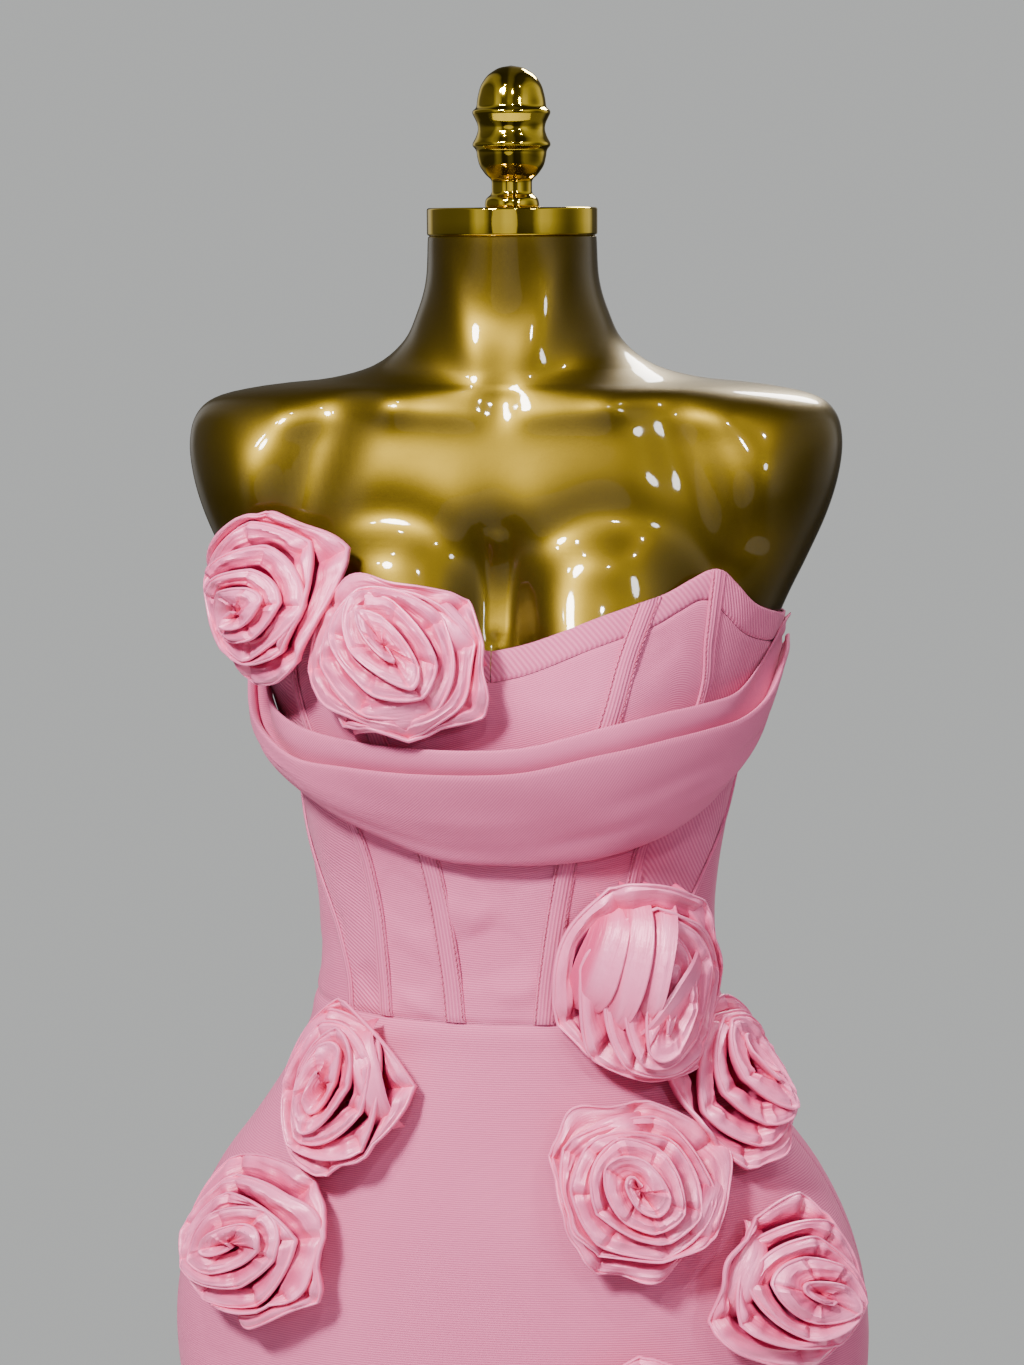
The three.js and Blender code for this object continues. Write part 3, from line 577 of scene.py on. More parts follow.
def makePanel(name, left, right, columns, rows):
    skirt = name.startswith("skirt")
    width, height = next(size for start, size in panelSizes.items() if name.startswith(start))
    if left(midBodice) > right(midBodice):
        left, right = right, left
    if skirt:
        bottom = hemHeight
        top = lambda angle: waistHeight - seamGap / 2 + 0 * angle
    else:
        bottom = waistHeight + seamGap / 2
        top = lambda angle: topEdge(angle) - bindingDepth - seamGap
    across = spaced(columns, width)[None, :]
    up = spaced(rows, height, (0.5, 1.4, 3, 5))[:, None]
    angle, z = panelPlace(left, right, bottom, top, across, up)
    run = runLength(offForm(angle, z, knitFace), 1)
    sideways = np.minimum(run, run[:, -1:] - run)
    pucker = 1 + 0.25 * softNoise(5, angle * 0.5)
    out = knitFace + tuck(sideways, panelShell["seamDip"], 2.4)
    if skirt:
        # drawn in at the waist seam with a soft ridge below it, and a hem turned up at the bottom
        out = out + tuck(waistHeight - z, 1.2, 4.5) * pucker
        out = out + 0.7 * np.exp(-(((waistHeight - 9 - z) / 5) ** 2))
        out = out + 0.5 * ease((hemHeight + 22 - z) / 3) + tuck(z - hemHeight, 0.8, 1.5)
        out = out + creaseOut(skirtCreases, angle, z) + 0.35 * softNoise(9, angle * 0.05, z * 0.02)
    else:
        out = out + tuck(z - waistHeight, 1.1, 3.5) * pucker + 0.3 * softNoise(3, angle * 0.1, z * 0.05)
        creases = panelShell["creases"] * creaseOut(bodiceCreases, angle, z)
        creases = creases * ease(sideways / 7) * ease((z - waistHeight) / 7)
        out = out + np.maximum(creases, panelShell["deepest"] - clearance) + tuck(top(angle) - z, 0.8, 2.2)
    points = offForm(angle, z, np.maximum(out, clearance + panelShell["nearest"]))
    obj = gridMesh(name + "_cloth", points, clothUv(points))
    applied(obj, "SOLIDIFY", thickness=panelShell["thick"] * mm, offset=-1.0, use_rim=True)
    finish(obj, finishes["sideKnit" if "side" in name else "knit"], [name])
    declareSheet(points, panelShell["cut"])


# the binding over the top edge, from its bottom edge up: share of its depth, distance from the knit's face
binding = {
    "thick": 1.2, "nearest": 0.4, "columns": 210,
    "profile": [
        (0.0, -0.9), (0.05, -0.2), (0.11, 0.25), (0.3, 0.45), (0.5, 0.5), (0.7, 0.45), (0.86, 0.35),
        (0.94, 0.1), (0.985, -0.45), (1.0, -1.1),
    ],
}


def makeBinding(side, word):
    start = angleOfLength(0.0, 1235.0, seamGap / 2)
    end = 180 - angleOfLength(179.0, 1240.0, zipGap / 2)
    angle = np.linspace(start, end, binding["columns"])[None, :] * side
    if side < 0:
        angle = angle[:, ::-1]
    profile = np.array(binding["profile"])
    share, lift = profile[:, :1], profile[:, 1:]
    z = topEdge(angle) - bindingDepth * (1 - share)
    out = knitFace + lift + 0.25 * softNoise(21, angle * 0.3, share * 2)
    points = offForm(angle, z, np.maximum(out, clearance + binding["nearest"]))
    obj = gridMesh("top_binding_" + word + "_cloth", points, clothUv(points))
    applied(obj, "SOLIDIFY", thickness=binding["thick"] * mm, offset=-1.0, use_rim=True)
    finish(obj, finishes["binding"], ["top_binding_" + word])
    declareSheet(points)


# one stitch of thread: share of its length, share of its width, and how high it stands, in radii
stitchStations = [
    (-0.02, 0.25, -0.5), (0.12, 0.9, 0.25), (0.5, 1.05, 0.45), (0.88, 0.9, 0.25), (1.02, 0.25, -0.5),
]


def stitchRow(name, starts, ends, normals, radius, material):
    # one thread: a short four-sided bead for each stitch
    direction = ends - starts
    length = np.linalg.norm(direction, axis=1, keepdims=True)
    direction = direction / length
    side = np.cross(direction, normals)
    rings = []
    for place, share, lift in stitchStations:
        for sideways, upward in ((1, 0), (0, 1), (-1, 0), (0, -1)):
            rings.append(starts + direction * length * place + side * (sideways * share * radius)
                         + normals * (upward * share * radius + lift * radius))
    each = len(rings)
    faces = [(3, 2, 1, 0), tuple(each - 4 + c for c in range(4))]
    for k in range(0, each - 4, 4):
        for c in range(4):
            after = (c + 1) % 4
            faces.append((k + c, k + after, k + 4 + after, k + 4 + c))
    every = np.array(faces)[None] + (np.arange(len(starts)) * each)[:, None, None]
    obj = meshObject(name, np.stack(rings, axis=1).reshape(-1, 3), [], every.reshape(-1, 4).tolist())
    obj.data.uv_layers.new(name="cloth")
    inEditMode(obj, faceOutwards)
    finish(obj, material)


# each boning channel over its seam: width, how far in its stitch rows are, and which edges have one
channels = {
    "centre": {"width": 12.5, "stitchIn": 1.3, "stitched": (-1, 1)},
    "cupSide": {"width": 8.5, "stitchIn": 1.2, "stitched": (-1,)},
    "underarm": {"width": 5.0, "stitchIn": 0, "stitched": ()},
}
channelRows = 110
channelThread = {"pitch": 1.9, "swing": 0.55, "radius": 0.34, "rise": 1.3}


def makeChannel(seam, side, word):
    look = channels[seam]
    half = look["width"] / 2
    start = waistHeight + seamGap
    z = np.linspace(start, 1250, channelRows)
    for _ in range(8):
        z = start + (topEdge(seamAngle(seam, z)) - 0.6 - start) * np.linspace(0, 1, channelRows)
    middle = seamAngle(seam, z)
    perMm = angleOfLength(middle, z, 1.0)
    # half the strip's section: place across from its middle, and height over the knit's face
    section = [
        (-half, 0.3), (-half + 0.35, 1.25), (-half + 1.0, 1.35), (-half + 1.5, 1.05), (-half + 2.1, 1.5),
        (0, 1.75),
    ]
    if seam == "underarm":
        section = [(-half, 0.3), (-half + 0.4, 1.3), (-1, 1.6), (0, 1.7)]
    place, lift = np.array(section + [(-a, b) for a, b in section[-2::-1]]).T
    angle = middle[:, None] + place[None, :] * perMm[:, None]
    height = np.minimum(z[:, None], topEdge(angle) - 0.5)
    height[-1] = topEdge(angle[-1]) - 0.5
    dents = creaseOut(bodiceCreases, side * angle, height) * 0.3
    out = knitFace + lift[None, :] + np.clip(dents, -0.5, 0.6) + tuck(z - waistHeight, 1.1, 3.5)[:, None]
    points = offForm(side * angle, height, out)[:, ::side]
    name = "channel_" + seam + "_" + word
    obj = gridMesh(name + "_cloth", points, clothUv(points))
    applied(obj, "SOLIDIFY", thickness=0.5 * mm, offset=-1.0, use_rim=True)
    finish(obj, finishes["channel"], [name])
    declareSheet(points)
    for number, edge in enumerate(look["stitched"]):
        at = edge * (half - look["stitchIn"])
        run = runLength(offForm(side * middle, z, knitFace), 0)
        count = int(run[-1] / channelThread["pitch"]) + 1
        level = np.interp(np.linspace(1.5, run[-1] - 1.5, count), run, z)
        swing = np.where(np.arange(count) % 2 == 0, -1, 1) * channelThread["swing"]
        centre = seamAngle(seam, level)
        turn = side * (centre + (at + swing) * angleOfLength(centre, level, 1.0))
        low = offForm(turn, level, knitFace + channelThread["rise"])
        normals = (offForm(turn, level, knitFace + channelThread["rise"] + 1) - low)[:-1]
        rowName = "stitches_%s_%s_%d" % (seam, word, number)
        stitchRow(rowName, low[:-1], low[1:], normals, channelThread["radius"], finishes["thread"])


# The camera, as the photograph was taken: angles in degrees, place in metres, lens in millimetres
camera = {
    "around": 7.0, "down": 8.89, "roll": 0.42, "away": 1.75, "height": 1.48, "lens": 77.88, "sensor": 36,
    "shiftX": -0.0026,
}
around, down, roll = (math.radians(camera[k]) for k in ("around", "down", "roll"))
ahead = Vector((-math.sin(around) * math.cos(down), math.cos(around) * math.cos(down), -math.sin(down)))
right = Vector((math.cos(around), math.sin(around), 0))
upward = right.cross(ahead)
rightTurned = right * math.cos(roll) - upward * math.sin(roll)
upTurned = upward * math.cos(roll) + right * math.sin(roll)
place = (camera["away"] * math.sin(around), -camera["away"] * math.cos(around), camera["height"])
bpy.ops.object.camera_add(location=place)
eye = bpy.context.object
eye.rotation_euler = Matrix((rightTurned, upTurned, -ahead)).transposed().to_euler()
eye.data.lens = camera["lens"]
eye.data.sensor_width = camera["sensor"]
eye.data.shift_x = camera["shiftX"]
eye.data.clip_end = 30
bpy.context.scene.camera = eye
print("camera set")

# The form
form = {
    "columns": 240, "bottom": 600.0, "edge": 9.0, "top": 1471.5,
    # where its rings of points are: from, to, and how far apart
    "rings": [(618, 1080, 18), (1080, 1240, 10), (1240, 1350, 3.6), (1350, 1396, 1.6), (1396, 1471, 3.0)],
    # soft shapes on its front: place across and up, how far out, how wide and how tall
    "shapes": [
        (0, 1240, -17, 24, 62), (0, 1290, -4, 16, 30), (156, 1330, 9, 30, 38), (-156, 1330, 9, 30, 38),
        (64, 1290, 3, 28, 16), (-64, 1290, 3, 28, 16), (0, 1380, -3, 24, 14), (0, 1318, 3, 36, 26),
    ],
    # a soft hollow round each mound: place to each side and up, its ring's radius, how deep, and its spread
    "hollow": (64, 1258, 54, 4.2, 0.3),
    # soft ridges on its front: from and to, across and up, how far out and how wide
    "ridges": [
        (-16, 1374, -64, 1377, 2.4, 11), (-64, 1377, -126, 1370, 2, 12), (16, 1374, 64, 1377, 2.4, 11),
        (64, 1377, 126, 1370, 2, 12), (-38, 1450, -12, 1392, 2.2, 13), (38, 1450, 12, 1392, 2.2, 13),
        (0, 1250, 0, 1300, 2.6, 4.5), (98, 1370, 124, 1288, -7.5, 21), (-98, 1370, -124, 1288, -7.5, 21),
    ],
}


def formLevels():
    # the rings from the bottom up: height, share of the section, and how far inside it
    bottom, edge, top = (form[k] for k in ("bottom", "edge", "top"))
    levels = [(bottom, share, 0.0) for share in (0.0, 0.45, 0.8, 0.95)]
    for turn in (0.0, 0.25, 0.5, 0.75, 1.0):
        angle = turn * math.pi / 2
        levels.append((bottom + edge * (1 - math.cos(angle)), 1.0, edge * (1 - math.sin(angle))))
    for low, high, step in form["rings"]:
        levels += [(z, 1.0, 0.0) for z in np.arange(low, high, step)]
    levels += [(top - 0.9, 1.0, 0.1), (top, 1.0, 1.0), (top, 0.7, 0.0), (top, 0.35, 0.0), (top, 0.0, 0.0)]
    return np.array(levels)


def shapeFront(points, z):
    # the front's soft shapes, hollows and ridges, each less where the form turns to the side
    def push(depth):
        points[:, 1] -= depth * np.clip(-points[:, 1] / 40, 0, 1)

    x = points[:, 0]
    for x0, z0, depth, wide, tall in form["shapes"]:
        push(depth * np.exp(-(((x - x0) / wide) ** 2) - ((z - z0) / tall) ** 2))
    sideways, z0, radius, depth, spread = form["hollow"]
    for side in (-sideways, sideways):
        fromRing = np.hypot((x - side) / radius, (z - z0) / radius) - 1
        push(-depth * np.exp(-((fromRing / spread) ** 2)))
    for x0, z0, x1, z1, depth, wide in form["ridges"]:
        along = ((x - x0) * (x1 - x0) + (z - z0) * (z1 - z0)) / ((x1 - x0) ** 2 + (z1 - z0) ** 2)
        along = np.clip(along, 0, 1)
        away = np.hypot(x - x0 - along * (x1 - x0), z - z0 - along * (z1 - z0))
        push(depth * np.exp(-((away / wide) ** 2)))


def makeForm():
    levels = formLevels()
    rings = len(levels) - 1
    bpy.ops.object.select_all(action="DESELECT")
    bpy.ops.mesh.primitive_uv_sphere_add(segments=form["columns"], ring_count=rings, radius=1)
    obj = bpy.context.object
    obj.name = "form_body"
    vertices = obj.data.vertices
    flat = np.zeros(len(vertices) * 3)
    vertices.foreach_get("co", flat)
    ball = flat.reshape(-1, 3)
    ring = np.rint(np.arccos(np.clip(-ball[:, 2], -1, 1)) / math.pi * rings).astype(int)
    z, share, inset = levels[ring].T
    # the columns evenly spaced across the front and back
    turn = np.arctan2(ball[:, 0], -ball[:, 1])
    sine, cosine = np.sin(turn), np.cos(turn)
    power = readCurve(sectionCurve, z, 4) / 2
    across = np.sign(sine) * np.abs(sine) ** power
    points = formPoint(np.degrees(np.arctan2(across, np.sign(cosine) * np.abs(cosine) ** power)), z)
    shapeFront(points, z)
    radius = np.maximum(np.hypot(points[:, 0], points[:, 1]), 1e-6)
    points[:, :2] *= (share * (1 - inset / radius))[:, None]
    vertices.foreach_set("co", (points * mm).ravel())
    obj.data.update()
    finish(obj, finishes["form"], ["form_torso"])


makeForm()
print("form made")


def turnedPiece(name, outline, base, material, replaced, steps):
    # an outline of radius and height, spun round the pole's axis
    points = [(radius, 0, base + height) for radius, height in outline]
    obj = meshObject(name, points, [(k, k + 1) for k in range(len(points) - 1)], [])
    spin = {"steps": steps, "angle": 2 * math.pi, "center": (0, 0, 0), "axis": (0, 0, 1)}
    inEditMode(obj, (bpy.ops.mesh.spin, spin), mergeDoubles, faceOutwards)
    finish(obj, material, [replaced])


def rounded(outline, radius, steps):
    # the outline with its inner corners rounded off
    made = [outline[0]]
    for before, here, after in zip(outline, outline[1:], outline[2:]):
        before, here, after = (np.array(p, float) for p in (before, here, after))
        reach = min(radius, np.linalg.norm(here - before) / 2.2, np.linalg.norm(after - here) / 2.2)
        start = here + (before - here) / np.linalg.norm(before - here) * reach
        end = here + (after - here) / np.linalg.norm(after - here) * reach
        for k in range(steps + 1):
            t = k / steps
            made.append(tuple((1 - t) ** 2 * start + 2 * t * (1 - t) * here + t * t * end))
    return made + [outline[-1]]


# the cap and the finial on the neck, each outline as radius and height
capBottom = 1471.55
neckCap = [(0, 0), (49.2, 0), (50, 0.8), (50, 15.2), (49.2, 16), (0, 16)]
finial = [
    (0, 0), (15.5, 0), (16, 1.5), (15.5, 5), (12.5, 7.5), (11.8, 9), (11.8, 16), (15, 18.5), (19, 24),
    (20.3, 30), (20.6, 33), (22.8, 35.5), (22.8, 37), (20.6, 41), (19.4, 45), (20, 48.5), (22.8, 54),
    (22.8, 55.5), (20.4, 57.5), (19.8, 63), (18, 70), (14, 76), (7.5, 80.2), (0, 81.5),
]
turnedPiece("neck_cap_polished", rounded(neckCap, 0.7, 3), capBottom, finishes["cap"], "neck_cap", 128)
turnedPiece("finial_turned", rounded(finial, 2.6, 5), capBottom + 16.05, finishes["cap"], "finial", 96)

# the stand: foot, collar under the form, and the pole between them
foot = [(0, 0), (163, 0), (165, 2), (165, 6), (163, 8), (102.3, 12), (40.8, 16), (24, 21), (24, 26), (0, 26)]
collar = [(0, 0), (27.9, 0), (34.1, 2), (62, 9), (62, 11), (0, 11)]
collarBottom = form["bottom"] - seamGap - collar[-1][1]
poleBottom = foot[-1][1] + seamGap
poleLength = collarBottom - seamGap - poleBottom
pole = [(0, 0), (15.4, 0), (16, 0.6), (16, poleLength - 0.6), (15.4, poleLength), (0, poleLength)]
turnedPiece("stand_foot_domed", rounded(foot, 6, 5), 0, finishes["stand"], "stand_foot", 128)
turnedPiece("pole_collar_turned", rounded(collar, 1.5, 3), collarBottom, finishes["stand"], "pole_collar", 96)
turnedPiece("stand_pole_tube", pole, poleBottom, finishes["stand"], "stand_pole", 64)
print("stand and cap made")

# The knit
for panelName, (leftEdge, rightEdge, columnCount, rowCount) in knitPanels.items():
    makePanel(panelName, leftEdge, rightEdge, columnCount, rowCount)
for side, word in ((-1, "left"), (1, "right")):
    makeBinding(side, word)
    for seam in channels:
        makeChannel(seam, side, word)
print("knit panels, binding and channels made")

# The cowl band: its edges and how far it stands off, by angle, and its cut across the pleats
cowlStations = np.array([
    (-97, 1214, 1236, 1248, 10.6), (-84, 1191, 1216, 1230, 13), (-70, 1171, 1197, 1211, 17),
    (-48, 1154, 1182, 1197, 17), (-28, 1136, 1181, 1193, 14), (-12, 1122, 1179.5, 1191, 13),
    (4, 1119.5, 1181, 1192, 13), (20, 1122, 1189, 1201, 13), (34, 1129, 1194, 1207, 14),
    (46, 1138, 1197, 1210, 15), (60, 1153, 1201, 1214, 15), (73, 1177, 1212, 1226, 14),
    (85, 1197, 1230, 1244, 11), (97, 1216, 1238, 1250, 10.6),
], float)
# each row: lower edge (0 low, 1 fold), share up to the edge above it, raised by, out, gain
cowlSection = np.array([
    (0, 0, 9, 2.9, 0), (0, 0, 2.5, 3.7, 0.12), (0, 0, 0, 6.0, 0.3), (0, 0.09, 0, 8.7, 0.55),
    (0, 0.34, 0, 10.6, 0.95), (0, 0.66, 0, 11, 1.05), (0, 1, 0, 10.6, 0.95), (0, 1, -1.6, 8.7, 0.86),
    (0, 1, -8, 7.6, 0.8), (0, 1, -8.8, 6.5, 0.74), (0, 1, -6, 5.5, 0.7), (1, 0.45, 0, 6.2, 0.73),
    (1, 1, 0, 5.2, 0.62), (1, 1, -2.4, 3.7, 0.5), (1, 1, -10, 2.9, 0.4),
])
# soft folds in the band: angle, share of its height, how far it runs, how it leans, width and depth
cowlFolds = [
    (-74, 0.45, 26, 0.35, 3.4, -1.5), (-62, 0.7, 30, -0.1, 3.0, 0.9), (70, 0.5, 26, -0.4, 3.4, -1.4),
    (60, 0.3, 24, -0.2, 3.0, 1.0), (-30, 0.25, 34, -0.2, 4.6, -0.9), (22, 0.3, 30, 0.2, 4.8, -0.8),
    (-6, 0.55, 30, 0.05, 5.0, 0.7), (38, 0.65, 22, 0.2, 4.0, -0.8),
]
cowl = {"columns": 190, "rows": 84, "thick": 1.1, "bottomOut": 2.9, "foldOut": 10.6}


def smoothRows(nodes, at):
    # the smooth curve through a list of grids or rows, read at each place along it
    first = np.minimum(at.astype(int), len(nodes) - 2)
    u = (at - first)[:, None, None]
    padded = np.concatenate([2 * nodes[:1] - nodes[1:2], nodes, 2 * nodes[-1:] - nodes[-2:-1]])
    p0, p1, p2, p3 = (padded[first + k] for k in range(4))
    bend, twist = 2 * p0 - 5 * p1 + 4 * p2 - p3, 3 * p1 - p0 - 3 * p2 + p3
    return 0.5 * (2 * p1 + (p2 - p0) * u + bend * u**2 + twist * u**3)


def makeCowl():
    angles = np.linspace(cowlStations[0, 0], cowlStations[-1, 0], cowl["columns"])
    turn = np.abs(angles)
    curve = smoothTable(cowlStations)
    low, fold, top, stand = (readCurve(curve, angles, k) for k in (1, 2, 3, 4))
    # towards its ends the band is pinched, and its upper fold lies down and is pressed against the bodice
    pinch = 1 - 0.22 * np.clip((turn - 70) / 27, 0, 1)
    lying = 1 - 0.92 * ease((turn - 50) / 30)
    pressed = 1.7 * ease((turn - 55) / 18) * (1 - ease((turn - 86) / 5))
    section = []
    for edge, share, raised, out, gain in cowlSection:
        below, above = (low, fold) if edge == 0 else (fold, top)
        raisedOut = (out - cowl["bottomOut"]) * pinch + (stand - cowl["foldOut"]) * gain
        if edge == 1:
            raisedOut = raisedOut * lying - pressed
        section.append([below + (above - below) * share + raised, cowl["bottomOut"] + raisedOut])
    at = np.linspace(0, len(section) - 1, cowl["rows"])
    level, out = np.moveaxis(smoothRows(np.array(section), at), 1, 0)
    angle = np.broadcast_to(angles, level.shape)
    free = ease((at - 2) / 2)[:, None]
    up = (level - low) / (fold - low)
    for a0, share, reach, lean, width, depth in cowlFolds:
        along = (angle - a0) / reach
        away = (up - share) * 50 - lean * (angle - a0)
        out = out + depth * free * np.exp(-(along**2) * 1.4 - (away / width) ** 2)
    ends = np.exp(-(((np.abs(angle) - 96) / 11) ** 2))
    gathers = 0.7 * ends * np.sin(up * 17 + angle * 0.2)
    out = out + free * (0.5 * softNoise(41, angle * 0.09, up * 3) + gathers)
    points = offForm(angle, level, knitFace + np.maximum(out, 1.0), True)
    obj = gridMesh("cowl_band_cloth", points, clothUv(points))
    applied(obj, "SOLIDIFY", thickness=cowl["thick"] * mm, offset=0.0, use_rim=True)
    finish(obj, finishes["cowl"], ["cowl_band"])
    declareSheet(points)


makeCowl()
print("cowl made")

# The roses, each with its own winding
# at, size: angle and height of its place, then its half width, half height and how far it rises
# turns, end: how often the strip winds round, and the angle where it ends
# lift, wind, seed: how far it lies off the knit, which way it winds, and what its chances start from
# on: the cloth that it rests on, where that isn't the skirt alone
# middle, slit: where its middle sits as shares of its size, and which way and how far that is drawn out
# corners: how many-cornered it is
# points: what sticks out of its outline, as angle, how far, how wide, from which share of the strip
# ruffles: waves at its rim, as angle, spread, how many, how deep
# bands: lengths that cross over its wraps, from and to as shares across and up, then width, how far over the
# wraps, which edge stands up and how steeply, and how far it bows sideways
roses = {
    "rose_bust_outer": {
        "at": (-43, 1267.5), "size": (50, 49, 40), "turns": 4.6, "end": 200,
        "lift": 2, "wind": 1, "seed": 11,
        "on": ["bodice_cup_left_cloth", "cowl_band_cloth"],
        "middle": (-0.02, -0.16), "slit": (20, 1.7), "corners": 0.5,
        "points": [(40, 0.1, 20, 0.7), (165, 0.05, 16, 0.5), (-70, 0.05, 22, 0.8)],
        "ruffles": [(-60, 50, 7, 2.0)],
    },
    "rose_bust_inner": {
        "at": (-15.5, 1234), "size": (52, 46, 40), "turns": 4.7, "end": 150,
        "lift": 0.9, "wind": -1, "seed": 12,
        "on": ["bodice_front_cloth", "cowl_band_cloth"],
        "middle": (-0.08, 0.04), "slit": (-55, 2.1), "corners": 0.6,
        "points": [(118, 0.2, 15, 0.78), (-35, 0.08, 16, 0.7), (215, 0.05, 14, 0.7)],
        "ruffles": [(0, 40, 9, 1.6)],
        "bands": [(-0.5, -0.72, 0.5, -0.6, 17, -2, -2.2, -3), (0.84, -0.1, 0.3, 0.74, 17, -2, -2.2, -2)],
    },
    "rose_waist": {
        "at": (37.5, 1049), "size": (50, 58, 42), "turns": 4.4, "end": 250,
        "lift": 2.6, "wind": 1, "seed": 13,
        "on": ["bodice_cup_right_cloth", "skirt_front_cloth"],
        "middle": (0.06, -0.22), "slit": (75, 1.8), "corners": 0.45,
        "points": [(95, 0.08, 26, 0.7), (-70, 0.05, 18, 0.7)],
        "ruffles": [(-110, 60, 9, 4.2)],
        "bands": [
            (0.84, 0.26, -0.2, -0.7, 25, 0.2, -2.6, -4), (0.34, 0.86, 0.86, -0.1, 16, 0.4, 2.4, 6),
            (-0.34, 0.8, -0.74, -0.3, 17, -0.8, 2.2, -4), (-0.1, 0.92, -0.5, -0.5, 17, 0.6, 2.6, -4),
            (0.2, 0.9, -0.2, -0.42, 16, 2.0, 2.8, -4),
        ],
    },
    "rose_hip_side": {
        "at": (61.5, 972), "size": (43, 50, 38), "turns": 4.2, "end": 20,
        "lift": 1.5, "wind": -1, "seed": 14,
        "middle": (0.18, 0.06), "slit": (-60, 2.2), "corners": 0.45,
        "points": [(150, 0.12, 14, 0.7), (-70, 0.1, 18, 0.7)],
        "ruffles": [(190, 60, 8, 5.0)],
    },
    "rose_hip_left": {
        "at": (-37.5, 974), "size": (45, 51, 40), "turns": 4.6, "end": 200,
        "lift": 0.9, "wind": 1, "seed": 15,
        "middle": (0.0, 0.08), "slit": (70, 1.9), "corners": 0.5,
        "points": [(-120, 0.05, 30, 0.7)],
        "ruffles": [(70, 40, 5, 1.6)],
        "bands": [(-0.1, 0.86, -0.76, 0.0, 18, -2, -2.2, -2), (0.2, 0.8, 0.72, -0.36, 19, -1.5, 2.2, 4)],
    },
    "rose_thigh_left": {
        "at": (-44.5, 881), "size": (55, 49, 42), "turns": 4.6, "end": 110,
        "lift": 0.9, "wind": -1, "seed": 16,
        "middle": (0.0, 0.0), "slit": (30, 1.9), "corners": 0.5,
        "points": [(35, 0.1, 15, 0.6), (-25, 0.08, 16, 0.7)],
        "ruffles": [(-90, 60, 4, 1.8)],
    },
    "rose_front_right": {
        "at": (26.6, 923), "size": (53, 51, 42), "turns": 5.0, "end": 310,
        "lift": 0.9, "wind": 1, "seed": 17,
        "middle": (-0.1, 0.06), "slit": (120, 1.5), "corners": 0.6,
        "points": [(122, 0.18, 13, 0.72), (20, 0.06, 14, 0.7), (-150, 0.08, 12, 0.7)],
        "ruffles": [(-100, 55, 9, 4.0)],
        "bands": [(-0.8, 0.34, 0.06, 0.8, 19, -2, 2.2, 3), (0.5, -0.7, 0.86, 0.2, 18, -2, -2.2, 3)],
    },
    "rose_thigh_right": {
        "at": (50.3, 864), "size": (52, 49, 41), "turns": 4.3, "end": 70,
        "lift": 0.9, "wind": -1, "seed": 18,
        "middle": (0.24, -0.14), "slit": (-30, 1.8), "corners": 0.45,
        "points": [(150, 0.12, 16, 0.7), (60, 0.06, 24, 0.8)],
        "ruffles": [(200, 50, 6, 3.0)],
        "bands": [(-0.76, -0.3, -0.3, 0.76, 18, -2, 2.2, 4), (0.1, -0.84, 0.84, -0.2, 17, -2, -2.2, -3)],
    },
    "rose_front_low": {
        "at": (22.5, 782), "size": (50, 50, 40), "turns": 4.6, "end": 180,
        "lift": 0.9, "wind": 1, "seed": 19,
        "middle": (0.06, 0.08), "slit": (-20, 1.8), "corners": 0.5,
        "points": [(100, 0.08, 18, 0.7), (-60, 0.08, 16, 0.7)],
        "ruffles": [(-140, 50, 8, 3.0)],
    },
}
roseCloth = {
    "columns": 470, "thick": 0.6, "slack": 0.7,
    # where the rows of points are across the strip's cut, which has ten places from 0 to 9
    "rows": np.concatenate([np.linspace(0, 2, 4), np.linspace(2.2, 5.0, 15), np.linspace(5.3, 9, 8)]),
    # its two pleats: where in the cut, and how strong
    "pleats": [(2.9, 1.0), (4.1, 0.85)],
    # how far out of the painted fold shade it lies: place in the cut, share
    "openness": [(0, 0), (1.9, 0), (2.5, 0.1), (3.4, 0.5), (4.6, 0.95), (7.0, 1), (9.0, 0.2)],
    # the rows of points across a crossing length, from one edge to the other
    "bandRows": [-1, -0.86, -0.72, -0.5, -0.28, -0.12, 0, 0.12, 0.28, 0.45, 0.62, 0.78, 0.88, 0.94, 0.98, 1],
}
fullTurn = 2 * math.pi


def insideDress(points):
    half, front, back, square = (readCurve(sectionCurve, points[..., 2], k) for k in (1, 2, 3, 4))
    ahead = points[..., 1] < 0
    depth = np.where(ahead, front, back)
    uncupped = points[..., 1] + cupOut(points[..., 0], points[..., 2], False)
    y = np.where(ahead, np.minimum(0, uncupped), points[..., 1])
    across = np.abs(points[..., 0]) / (half + knitFace)
    return across**square + (np.abs(y) / (depth + knitFace)) ** square < 1


def faceAlong(points, direction):
    # how far each point is from the knit's face along a direction, by halving
    low, high = np.full(points.shape[:-1], -30.0), np.full(points.shape[:-1], 30.0)
    for _ in range(18):
        middle = (low + high) / 2
        inside = insideDress(points + direction * middle[..., None])
        low, high = np.where(inside, middle, low), np.where(inside, high, middle)
    return (low + high) / 2


def roseAxes(look):
    # where a rose sits on the knit, and the ways outward, sideways and upward from there
    root = offForm(*look["at"], knitFace)
    outward = offForm(*look["at"], knitFace + 10) - root
    outward = outward / np.linalg.norm(outward)
    sideways = np.cross([0, 0, 1], outward)
    sideways = sideways / np.linalg.norm(sideways)
    return root, outward, sideways, np.cross(outward, sideways)


